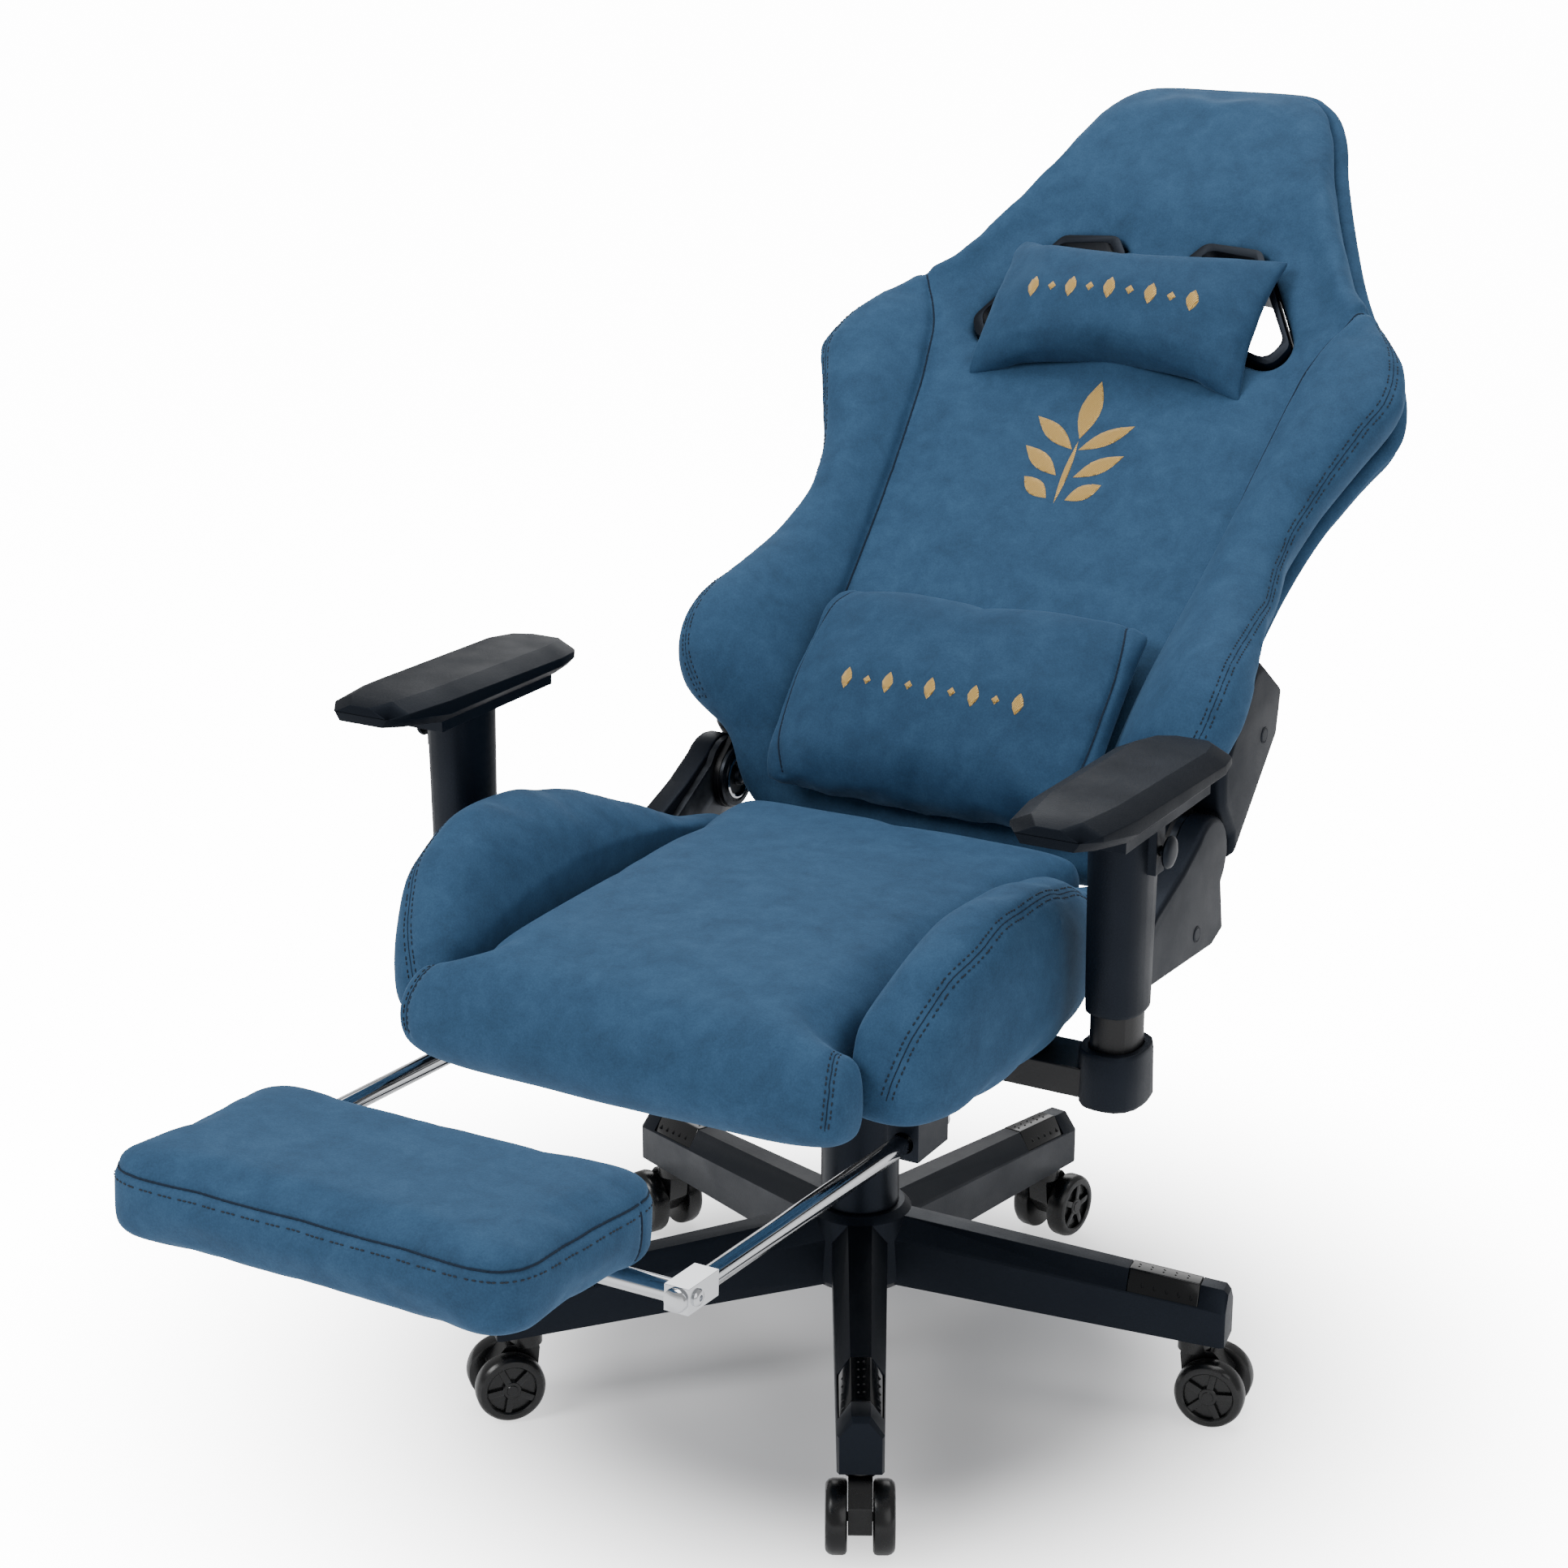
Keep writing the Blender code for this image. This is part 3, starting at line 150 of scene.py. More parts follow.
def brushed_velvet(name, deep, middle, light):
    """Polyester velvet, brushed. The nap lies in patches 30 to 70 mm wide that catch light unevenly,
    and a 1.6 mm fleck stands for the pile, which is really finer."""
    material, tree, shader = start_material(
        name, middle, 0.82, Sheen_Weight=0.35, Sheen_Roughness=0.35, Sheen_Tint=linear("#7FA6CC"),
        Specular_IOR_Level=0.22)
    patches = grain(tree, 0.028, detail=8.0, roughness=0.70, distortion=0.25)
    fleck = grain(tree, 0.0016, detail=3.0, roughness=0.7)
    mixed = add(tree, "ShaderNodeMath", {0: patches, 1: 0.62}, operation="MULTIPLY")
    total = add(tree, "ShaderNodeMath", {0: fleck, 1: 0.38, 2: mixed.outputs[0]}, operation="MULTIPLY_ADD")
    colour = spread(tree, total.outputs[0], [(0.32, deep), (0.50, middle), (0.70, light)])
    tree.links.new(colour, shader.inputs["Base Color"])
    raised(tree, shader, fleck, 0.30, 0.0006)
    return material


def moulded_abs(name, colour, roughness, grit=0.0011, strength=0.22, shine=0.34):
    """Black ABS from a spark-eroded mould. The texture's grit softens the highlights."""
    material, tree, shader = start_material(name, colour, roughness, IOR=1.50, Specular_IOR_Level=shine,
                                            Specular_Tint=linear("#BFD0EA"))
    pits = grain(tree, grit, detail=3.0, roughness=0.6)
    handling = grain(tree, 0.045, detail=4.0)
    roughness_range(tree, shader, handling, roughness - 0.06, roughness + 0.06)
    raised(tree, shader, pits, strength, 0.0005)
    return material


def gloss_abs():
    """Polished black ABS of the foot caps: a clear reflection with faint handling marks."""
    material, tree, shader = start_material("polished_abs", "#06080B", 0.12, IOR=1.50, Coat_Weight=0.15,
                                            Coat_Roughness=0.05, Specular_IOR_Level=0.32)
    roughness_range(tree, shader, grain(tree, 0.030, detail=5.0), 0.09, 0.20)
    return material


def caster_nylon():
    """Black nylon of the casters, moulded smooth, with a satin skin."""
    material, tree, shader = start_material("caster_nylon", "#08090B", 0.25, IOR=1.53)
    roughness_range(tree, shader, grain(tree, 0.020, detail=4.0), 0.22, 0.34)
    raised(tree, shader, grain(tree, 0.0018), 0.06, 0.0004)
    return material


def powder_coat():
    """Black powder coat on steel. Its orange peel is about 1.5 mm across."""
    material, tree, shader = start_material("powder_coated_steel", "#0E0F12", 0.42, 0.1)
    raised(tree, shader, grain(tree, 0.0015, detail=2.0), 0.16, 0.0005)
    return material


def dark_zinc():
    """Black-passivated zinc on pressed steel, with rolling marks and a dull shine."""
    material, tree, shader = start_material("black_zinc_steel", "#34373C", 0.36, 0.85)
    cloud = grain(tree, 0.018, detail=5.0)
    tree.links.new(spread(tree, cloud, [(0.3, "#282B30"), (0.7, "#464A50")]), shader.inputs["Base Color"])
    roughness_range(tree, shader, cloud, 0.28, 0.44)
    return material


def polished_chrome():
    """Chrome plate on steel tube: a mirror with faint wiping marks."""
    material, tree, shader = start_material("polished_chrome", "#D9DBDE", 0.07, 1.0)
    roughness_range(tree, shader, grain(tree, 0.025, detail=5.0), 0.04, 0.12)
    return material


def satin_thread(name, dark, light, turn):
    """Embroidery in rayon satin stitch. Threads 0.4 mm wide are drawn 1.1 mm wide, so that they show."""
    material, tree, shader = start_material(name, light, 0.38, 0.25, Sheen_Weight=0.3, Specular_IOR_Level=0.6)
    placed = add(tree, "ShaderNodeMapping", {"Vector": coordinates(tree), "Rotation": (0, 0, turn)})
    threads = add(tree, "ShaderNodeTexWave", {"Vector": placed.outputs["Vector"], "Scale": 1 / (0.0011 * 3.2),
                                              "Distortion": 1.2, "Detail": 2.0, "Detail Scale": 2.0},
                  wave_type="BANDS", bands_direction="X")
    # The thread colour runs dark in the grooves between threads and light on their crowns, in step with the
    # bump: painted shade and painted highlight.
    colour = spread(tree, threads.outputs["Fac"], [(0.1, dark), (0.75, light)])
    tree.links.new(colour, shader.inputs["Base Color"])
    raised(tree, shader, threads.outputs["Fac"], 0.5, 0.0006)
    return material


VELVET = brushed_velvet("brushed_velvet", "#28445F", "#305170", "#3B5E7E")
VELVET_PILLOW = brushed_velvet("brushed_velvet_pillow", "#243F5A", "#2B4B69", "#365877")
SEAM_THREAD = start_material("sewing_thread", "#0B1B2B", 0.7)[0]
# Dark blue of the cords laid in the bottoms of seams, creases and folds: painted shade where the cover is
# drawn in.
SEAM_SHADE = start_material("seam_painted_shade", "#0C2136", 0.95)[0]
GOLD = satin_thread("gold_embroidery", "#A87B2C", "#E3BC67", 0.6)
TEXTURED = moulded_abs("textured_abs", "#0C0F15", 0.48)
PAD_SKIN = moulded_abs("armrest_polyurethane", "#0B0F15", 0.52, grit=0.0014, strength=0.30, shine=0.20)
SMOOTH = moulded_abs("smooth_abs", "#090C12", 0.36, grit=0.002, strength=0.06)
BASE_NYLON = moulded_abs("glass_filled_nylon", "#0B0E14", 0.42, grit=0.0016, strength=0.16)
GLOSS = gloss_abs()
NYLON = caster_nylon()
COATED = powder_coat()
ZINC = dark_zinc()
CHROME = polished_chrome()


# ---------------------------------------------------------------- making pieces

def piece(name, shape, body, material, crease=35.0):
    """Puts a shape into the scene as a named piece that rides on a body."""
    mesh = bpy.data.meshes.new(name)
    shape.to_mesh(mesh)
    shape.free()
    mesh.shade_smooth()
    mesh.set_sharp_from_angle(angle=radians(crease))
    mesh.materials.append(material)
    made = bpy.data.objects.new(name, mesh)
    bpy.context.scene.collection.objects.link(made)
    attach(made, body)
    return made


def copied(node):
    """A copy of a CAD node's shape, with its loose triangles joined."""
    shape = bmesh.new()
    shape.from_mesh(frame["nodes"][node].data)
    bmesh.ops.remove_doubles(shape, verts=shape.verts, dist=0.00002)
    return shape


def refined(node, material, width=0.0010, segments=2, sharp=28.0):
    """A copy of a CAD node with rounded edges, which stands for it."""
    shape = copied(node)
    bmesh.ops.dissolve_limit(shape, angle_limit=radians(0.5), verts=shape.verts, edges=shape.edges)
    edges = [edge for edge in shape.edges
             if len(edge.link_faces) == 2 and edge.calc_face_angle(0) > radians(sharp)]
    bmesh.ops.bevel(shape, geom=edges, offset=width, offset_type="OFFSET", segments=segments, profile=0.5,
                    affect="EDGES", clamp_overlap=True, material=-1)
    bmesh.ops.recalc_face_normals(shape, faces=shape.faces)
    made = piece(node + "_finished", shape, BODY_OF[node], material, 24.0)
    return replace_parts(made, node)


def turned(profile, segments=48):
    """A closed profile of (radius, height) points turned about Z."""
    shape = bmesh.new()
    line = [shape.verts.new((radius, 0, height)) for radius, height in profile]
    edges = [shape.edges.new((line[i - 1], line[i])) for i in range(len(line))]
    bmesh.ops.spin(shape, geom=line + edges, cent=(0, 0, 0), axis=(0, 0, 1), angle=2 * pi, steps=segments,
                   use_merge=True, use_duplicate=False)
    bmesh.ops.remove_doubles(shape, verts=shape.verts, dist=0.00001)
    bmesh.ops.delete(shape, geom=[edge for edge in shape.edges if not edge.link_faces], context="EDGES")
    bmesh.ops.recalc_face_normals(shape, faces=shape.faces)
    return shape


def bar(low, high, bevel=0.0008, segments=2):
    """A box between two corners, with rounded edges."""
    shape = bmesh.new()
    bmesh.ops.create_cube(shape, size=1.0)
    bmesh.ops.scale(shape, vec=Vector(high) - Vector(low), verts=shape.verts)
    bmesh.ops.translate(shape, vec=(Vector(low) + Vector(high)) / 2, verts=shape.verts)
    bmesh.ops.bevel(shape, geom=shape.edges[:], offset=bevel, segments=segments, profile=0.5, affect="EDGES",
                    clamp_overlap=True, material=-1)
    return shape


def gathered(shapes):
    """Several shapes as one."""
    whole = bmesh.new()
    for shape in shapes:
        mesh = bpy.data.meshes.new("part")
        shape.to_mesh(mesh)
        shape.free()
        whole.from_mesh(mesh)
        bpy.data.meshes.remove(mesh)
    return whole


def moved(shape, matrix):
    bmesh.ops.transform(shape, matrix=matrix, verts=shape.verts)
    return shape


def facing(place, direction, turn=0.0):
    """The matrix that carries +Z onto a direction at a place."""
    aim = Vector((0, 0, 1)).rotation_difference(Vector(direction)).to_matrix().to_4x4()
    return Matrix.Translation(Vector(place)) @ aim @ Matrix.Rotation(turn, 4, "Z")


# ---------------------------------------------------------------- upholstery

def points_of(mesh):
    flat = np.empty(len(mesh.vertices) * 3)
    mesh.vertices.foreach_get("co", flat)
    return flat.reshape(-1, 3)


def set_points(mesh, points):
    mesh.vertices.foreach_set("co", points.ravel())
    mesh.update()


def evaluated_copy(item):
    view = bpy.context.evaluated_depsgraph_get()
    return bpy.data.meshes.new_from_object(item.evaluated_get(view))


def applied(item):
    """Makes what the modifiers give into the item's own mesh."""
    mesh = evaluated_copy(item)
    item.modifiers.clear()
    item.data = mesh


def remeshed(item, voxel, rounds):
    """An even skin of voxel-sized faces, smoothed so that the blocked-out edges go."""
    step = item.modifiers.new("skin", "REMESH")
    step.mode = "VOXEL"
    step.voxel_size = voxel
    applied(item)
    eased(item, rounds)


def stuffed(item, cap, pressure, room):
    """Blows the skin up a little under tension, as foam does, and never further than cap allows."""
    before = points_of(item.data)
    cloth = item.modifiers.new("stuffing", "CLOTH")
    cloth.settings.quality = 4
    cloth.settings.use_pressure = True
    cloth.settings.uniform_pressure_force = pressure
    cloth.settings.effector_weights.gravity = 0
    cloth.settings.tension_stiffness = 8
    cloth.settings.compression_stiffness = 8
    cloth.settings.bending_stiffness = 0.8
    for number in range(1, STUFFING_FRAMES + 1):
        bpy.context.scene.frame_set(number)
    applied(item)
    bpy.context.scene.frame_set(1)
    move = points_of(item.data) - before
    length = np.linalg.norm(move, axis=1, keepdims=True) + 1e-9
    limit = cap * room(before)[:, None]
    set_points(item.data, before + move / length * limit * np.tanh(length / np.maximum(limit, 1e-6)))


def free_room(points):
    return np.ones(len(points))


def eased(item, rounds):
    """Smooths out the small waves that the stuffing leaves."""
    shape = bmesh.new()
    shape.from_mesh(item.data)
    for _ in range(rounds):
        bmesh.ops.smooth_vert(shape, verts=shape.verts, factor=0.5, use_axis_x=True, use_axis_y=True,
                              use_axis_z=True)
    shape.to_mesh(item.data)
    shape.free()


def finely(item):
    """One smooth subdivision, made into real faces."""
    step = item.modifiers.new("finer", "SUBSURF")
    step.levels = 1
    step.render_levels = 1
    applied(item)


def upholstered(node, name, voxel, rounds, cap, pressure=4.0, room=free_room, clear=None,
                material=VELVET, ease=6):
    """A cushion grown from its CAD solid: skin, stuffing, then a finer skin. It stands for the node."""
    shape = copied(node)
    item = piece(name, shape, BODY_OF[node], material, 180.0)
    remeshed(item, voxel, rounds)
    stuffed(item, cap, pressure, room)
    eased(item, ease)
    if clear:
        set_points(item.data, clear(points_of(item.data)))
    finely(item)
    item.data.materials.clear()
    item.data.materials.append(material)
    item.data.shade_smooth()
    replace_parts(item, node)
    return item


def curve_through(points, step=0.004):
    """Evenly spaced points on a smooth curve through the given ones."""
    points = [Vector(p) for p in points]
    padded = [points[0] * 2 - points[1]] + points + [points[-1] * 2 - points[-2]]
    dense = []
    for a, b, c, d in zip(padded, padded[1:], padded[2:], padded[3:]):
        for number in range(24):
            t = number / 24
            dense.append(0.5 * (2 * b + (c - a) * t + (2 * a - 5 * b + 4 * c - d) * t ** 2
                                + (3 * b - a - 3 * c + d) * t ** 3))
    dense.append(points[-1])
    even = [dense[0]]
    for point in dense[1:]:
        while (point - even[-1]).length >= step:
            even.append(even[-1] + (point - even[-1]).normalized() * step)
    return even


def laid_on(item, guide, direction, reach=0.3):
    """Where each guide point lands on the item when it moves along the direction, with the surface's normal.

    A step longer than LONGEST_STEP means that the line fell off an edge. The longest unbroken run is kept."""
    tree = BVHTree.FromObject(item, bpy.context.evaluated_depsgraph_get())
    runs = [[]]
    for point in guide:
        way = direction(point) if callable(direction) else Vector(direction)
        way = way.normalized()
        place, normal, _, _ = tree.ray_cast(point - way * reach, way)
        if place is None:
            continue
        if runs[-1] and (place - runs[-1][-1][0]).length > LONGEST_STEP:
            runs.append([])
        runs[-1].append((place, normal))
    return max(runs, key=len)


def pressed(item, line, width, depth):
    """Draws the skin in along a line of (place, normal)."""
    places = KDTree(len(line))
    for number, (place, _) in enumerate(line):
        places.insert(place, number)
    places.balance()
    points = points_of(item.data)
    normals = np.empty(len(points) * 3)
    item.data.vertices.foreach_get("normal", normals)
    normals = normals.reshape(-1, 3)
    for index, point in enumerate(points):
        _, _, distance = places.find(Vector(point))
        if distance < width * 3:
            points[index] = point - normals[index] * depth * np.exp(-(distance / width) ** 2)
    set_points(item.data, points)


def shifted(line, offset):
    """The same line moved sideways across the surface."""
    result = []
    for number, (place, normal) in enumerate(line):
        along = line[min(number + 1, len(line) - 1)][0] - line[max(number - 1, 0)][0]
        result.append((place + normal.cross(along).normalized() * offset, normal))
    return result


def stitches(name, rows, body):
    """Thread that shows as short raised stitches along rows of (place, normal)."""
    shape = bmesh.new()
    for row in rows:
        travelled = 0.0
        for (place, normal), (following, _) in zip(row, row[1:]):
            span = following - place
            travelled += span.length
            if travelled < STITCH_PITCH:
                continue
            travelled -= STITCH_PITCH
            along = span.normalized()
            side = normal.cross(along).normalized()
            out = along.cross(side)
            size = Matrix((along * STITCH_LENGTH / 2, side * STITCH_RADIUS, out * STITCH_RADIUS * 0.8))
            matrix = Matrix.Translation(place + out * STITCH_RADIUS * 0.3) @ size.transposed().to_4x4()
            bmesh.ops.create_icosphere(shape, subdivisions=1, radius=1.0, matrix=matrix)
    return piece(name, shape, body, SEAM_THREAD, 60.0)


def cord_along(name, line, radius, body, material, sides=1):
    """A thin round cord laid along a line of (place, normal)."""
    curve = bpy.data.curves.new(name, "CURVE")
    curve.dimensions = "3D"
    curve.bevel_depth = radius
    curve.bevel_resolution = sides
    curve.use_fill_caps = True
    spline = curve.splines.new("POLY")
    spline.points.add(len(line) - 1)
    for point, (place, _) in zip(spline.points, line):
        point.co = (*place, 1)
    holder = bpy.data.objects.new(name, curve)
    shape = bmesh.new()
    mesh = bpy.data.meshes.new_from_object(holder)
    shape.from_mesh(mesh)
    bpy.data.objects.remove(holder)
    bpy.data.meshes.remove(mesh)
    bmesh.ops.remove_doubles(shape, verts=shape.verts, dist=0.00001)
    bmesh.ops.recalc_face_normals(shape, faces=shape.faces)
    return piece(name, shape, body, material, 60.0)


def seamed(item, name, guide, direction, body, depth=0.004, width=0.0045):
    """A plain seam: the skin drawn in, with a dark cord at its bottom that is painted shade in the fold."""
    line = laid_on(item, curve_through(guide), direction)
    pressed(item, line, width, depth)
    # The dark cord in the valley is painted shade.
    return cord_along(name, [(place - normal * (depth - 0.0004), normal) for place, normal in line], 0.0009,
                      body, SEAM_SHADE)


def double_stitched(item, name, guides, direction, body, depth=0.0012, gap=ROW_GAP):
    """A lapped seam: a fine crease between two rows of stitches, each in a shallow groove. A thin dark cord
    in the crease is painted shade.
    """
    rows = []
    creases = []
    for guide in guides:
        line = laid_on(item, curve_through(guide), direction)
        creases.append(line)
        for offset in (-gap / 2, gap / 2):
            rows.append(shifted(line, offset))
    for row in rows:
        pressed(item, row, 0.0030, depth)
    for line in creases:
        pressed(item, line, 0.0026, depth)
    tree = BVHTree.FromObject(item, bpy.context.evaluated_depsgraph_get())
    # Each crease gets a thin dark cord: painted shade in the crease.
    for number, line in enumerate(creases):
        settled = [tree.find_nearest(place)[:2] for place, _ in line]
        cord_along("%s_crease_%d" % (name, number + 1), settled, CREASE_RADIUS, body, SEAM_SHADE)
    landed = [[tree.find_nearest(place)[:2] for place, _ in row] for row in rows]
    return stitches(name, landed, body)


# ---------------------------------------------------------------- the back rest

# Half of each line on the back, as (across, up): the seam between panel and wing, and the stitched crest
PANEL_SEAM = ((0.139, 0.005), (0.148, 0.070), (0.153, 0.130), (0.157, 0.176), (0.161, 0.226), (0.166, 0.285),
              (0.171, 0.345), (0.177, 0.410), (0.182, 0.455), (0.192, 0.505), (0.212, 0.545), (0.232, 0.568))
WING_CREST = ((0.232, 0.035), (0.249, 0.062), (0.255, 0.095), (0.254, 0.130), (0.249, 0.176), (0.244, 0.226),
              (0.237, 0.285), (0.246, 0.345), (0.268, 0.410), (0.282, 0.455), (0.270, 0.505), (0.238, 0.552),
              (0.203, 0.600), (0.172, 0.660), (0.140, 0.730), (0.112, 0.785))
HARNESS_MIDDLE = (0.092, 0.568)
COVER_INNER = 0.2145    # the back's body keeps inside this, where the hinge covers stand
COVER_FRONT = 0.0465    # and the wings keep in front of this
COVER_TOP = 0.200
# Middle of the strip between the front and the rear upholstery, from the hinge cover round the head
EDGE_STRIP = ((0.2070, 0.205), (0.2085, 0.226), (0.2165, 0.285), (0.2305, 0.345), (0.2545, 0.410),
              (0.2730, 0.455), (0.2605, 0.505), (0.2290, 0.550), (0.1980, 0.600), (0.1695, 0.660),
              (0.1405, 0.730), (0.1275, 0.770), (0.1135, 0.798), (0.0975, 0.814), (0.0740, 0.8235))
STRIP_TOP = (0.0, 0.8245)
STRIP_OUT = -0.0300     # how far out of the back the strip lies, halfway between the two
STRIP_RADIUS = 0.0086
# Half of the stitched line on the rear, as (across, up)
REAR_EDGE = ((0.215, 0.150), (0.218, 0.230), (0.222, 0.285), (0.238, 0.345), (0.262, 0.410), (0.280, 0.455),
             (0.266, 0.505), (0.234, 0.550), (0.202, 0.600), (0.174, 0.660), (0.142, 0.730), (0.112, 0.780))
REAR_EDGE_INSET = 0.90
ZIP_HEIGHT = 0.115


def back_places(points):
    """Each point as across, up and out of the back."""
    away = points - np.array(PIVOT)
    return away[:, 0], away @ np.array(BACK_UP), away @ np.array(BACK_OUT)


def room_on_back(points):
    """Full room on the panel and wings, little where the harness holes and the hinge covers are."""
    across, up, out = back_places(points)
    to_hole = np.hypot(np.abs(across) - HARNESS_MIDDLE[0], up - HARNESS_MIDDLE[1])
    hole_room = np.clip((to_hole - 0.075) / 0.045, 0.04, 1.0)
    cover_room = np.clip((up + 0.02) / 0.08, 0.25, 1.0)
    rear_room = np.clip((out + 0.018) / 0.012, 0.10, 1.0)
    return hole_room * cover_room * rear_room


def clear_of_covers(points):
    across, up, out = back_places(points)
    over = np.abs(across) - COVER_INNER
    short = COVER_FRONT - out
    inside = (up < COVER_TOP) & (over > 0) & (short > 0)
    lift = np.where(inside & (short <= over), short, 0.0)
    squeeze = np.where(inside & (short > over), over, 0.0)
    moved_points = points + lift[:, None] * np.array(BACK_OUT)
    moved_points[:, 0] -= np.sign(across) * squeeze
    return moved_points


def back_rest():
    into = -BACK_OUT
    cushion = upholstered("back_cushion", "back_upholstery", 0.0060, 26, 0.013, room=room_on_back,
                          clear=clear_of_covers)
    for name, side in SIDES:
        guide = [on_back(side * across, up, 0.05) for across, up in PANEL_SEAM]
        seamed(cushion, "back_seam_shade_" + name, guide, into, "back", depth=0.0055, width=0.0060)
    crests = [[on_back(side * across, up, 0.05) for across, up in WING_CREST] for _, side in SIDES]
    double_stitched(cushion, "back_stitching", crests, into, "back")
    rear = upholstered("back_panel", "back_rear_upholstery", 0.0060, 10, 0.006, room=room_on_rear)
    zip_guide = [on_back(across, ZIP_HEIGHT, -0.05) for across in (-0.185, -0.09, 0.0, 0.09, 0.185)]
    seamed(rear, "back_zip_fold_shade", zip_guide, BACK_OUT, "back", depth=0.0030)
    edges = [[on_back(side * across * REAR_EDGE_INSET, up, -0.05) for across, up in REAR_EDGE]
             for _, side in SIDES]
    double_stitched(rear, "back_rear_stitching", edges, BACK_OUT, "back")
    whole = [*EDGE_STRIP, STRIP_TOP] + [(-across, up) for across, up in reversed(EDGE_STRIP)]
    strip = curve_through([on_back(across, up, STRIP_OUT) for across, up in whole])
    cord_along("back_edge_strip", [(place, BACK_OUT) for place in strip], STRIP_RADIUS, "back", VELVET,
               sides=4)
    return cushion


def room_on_rear(points):
    across, up, out = back_places(points)
    to_hole = np.hypot(np.abs(across) - HARNESS_MIDDLE[0], up - HARNESS_MIDDLE[1])
    return np.clip((to_hole - 0.075) / 0.045, 0.04, 1.0) * np.clip((-0.040 - out) / 0.010, 0.05, 1.0)


# ---------------------------------------------------------------- pillows and embroidery

def leaf(length, width, centre, angle, steps=7):
    """A pointed leaf outline in a flat plane, its long axis turned by angle from across."""
    upper = [(length * (n / steps - 0.5), width / 2 * sin(pi * n / steps)) for n in range(steps + 1)]
    lower = [(x, -y) for x, y in reversed(upper[1:-1])]
    return [(centre[0] + x * cos(angle) - y * sin(angle), centre[1] + x * sin(angle) + y * cos(angle))
            for x, y in upper + lower]


def spray():
    """A plain symmetric spray of leaves."""
    shapes = [leaf(0.066, 0.021, (0.0, 0.049), pi / 2), leaf(0.070, 0.006, (0.0, -0.022), pi / 2)]
    for up, reach, length in ((0.020, 0.026, 0.056), (-0.012, 0.029, 0.050), (-0.042, 0.024, 0.036)):
        for side in (1, -1):
            shapes.append(leaf(length, 0.0165, (side * reach, up), pi / 2 - side * 0.95))
    return shapes


def border(width, height, count=9):
    """A row of upright lozenges with small ones between."""
    shapes = []
    for number in range(count):
        across = width * (number / (count - 1) - 0.5)
        tall = number % 2 == 0
        size = height if tall else height * 0.42
        shapes.append(leaf(size, size * (0.52 if tall else 0.9), (across, 0.0), pi / 2, 4 if tall else 2))
    return shapes


def embroidered(name, item, outlines, centre, body, relief=0.0011):
    """Raised patches of thread that follow the surface of a padded piece."""
    tree = BVHTree.FromObject(item, bpy.context.evaluated_depsgraph_get())
    whole = []
    for outline in outlines:
        shape = bmesh.new()
        corners = [shape.verts.new((across, up, 0)) for across, up in outline]
        bmesh.ops.contextual_create(shape, geom=corners)
        low = [min(point[axis] for point in outline) for axis in (0, 1)]
        high = [max(point[axis] for point in outline) for axis in (0, 1)]
        for axis, normal in ((0, (1, 0, 0)), (1, (0, 1, 0))):
            level = low[axis] + 0.0025
            while level < high[axis]:
                spot = [0, 0, 0]
                spot[axis] = level
                everything = shape.verts[:] + shape.edges[:] + shape.faces[:]
                bmesh.ops.bisect_plane(shape, geom=everything, dist=0.00001, plane_co=spot, plane_no=normal)
                level += 0.0030
        bmesh.ops.triangulate(shape, faces=shape.faces[:])
        for vert in shape.verts:
            across, up, _ = vert.co
            start = on_back(across + centre[0], up + centre[1], 0.4)
            place, normal, _, _ = tree.ray_cast(start, -BACK_OUT)
            if place is None:
                place, normal, _, _ = tree.find_nearest(start)
            vert.co = place + normal * (relief * (0.25 if vert.is_boundary else 1.0))
        grown = bmesh.ops.extrude_face_region(shape, geom=shape.faces[:])
        under = [part for part in grown["geom"] if isinstance(part, bmesh.types.BMVert)]
        bmesh.ops.translate(shape, vec=-BACK_OUT * 0.0018, verts=under)
        bmesh.ops.recalc_face_normals(shape, faces=shape.faces)
        whole.append(shape)
    return piece(name, gathered(whole), body, GOLD, 50.0)


HEAD_HALF = (0.138, 0.082)      # half the head pillow, across and up
# The seam near each end of the lumbar pillow, as (across, up)
LUMBAR_SEAM = ((0.132, -0.020), (0.143, 0.010), (0.147, 0.045), (0.148, 0.080), (0.147, 0.115),
               (0.142, 0.150), (0.133, 0.176))


def pillows(back):
    head = upholstered("head_pillow", "head_pillow_cover", 0.0042, 5, 0.009, pressure=5.0,
                       material=VELVET_PILLOW, clear=eared, ease=3)
    embroidered("head_pillow_embroidery", head, border(0.160, 0.022), (0.0, 0.522), "back")
    lumbar = upholstered("lumbar_pillow", "lumbar_pillow_cover", 0.0046, 6, 0.010, pressure=4.5,
                         material=VELVET_PILLOW)
    for name, side in SIDES:
        guide = [on_back(side * across, up, 0.2) for across, up in LUMBAR_SEAM]
        seamed(lumbar, "lumbar_pillow_seam_shade_" + name, guide, -BACK_OUT, "lumbar_pillow", depth=0.0022,
               width=0.0034)
    embroidered("lumbar_pillow_embroidery", lumbar, border(0.165, 0.020), (0.0, 0.062), "lumbar_pillow")
    embroidered("back_embroidery", back, spray(), (0.0, 0.372), "back")


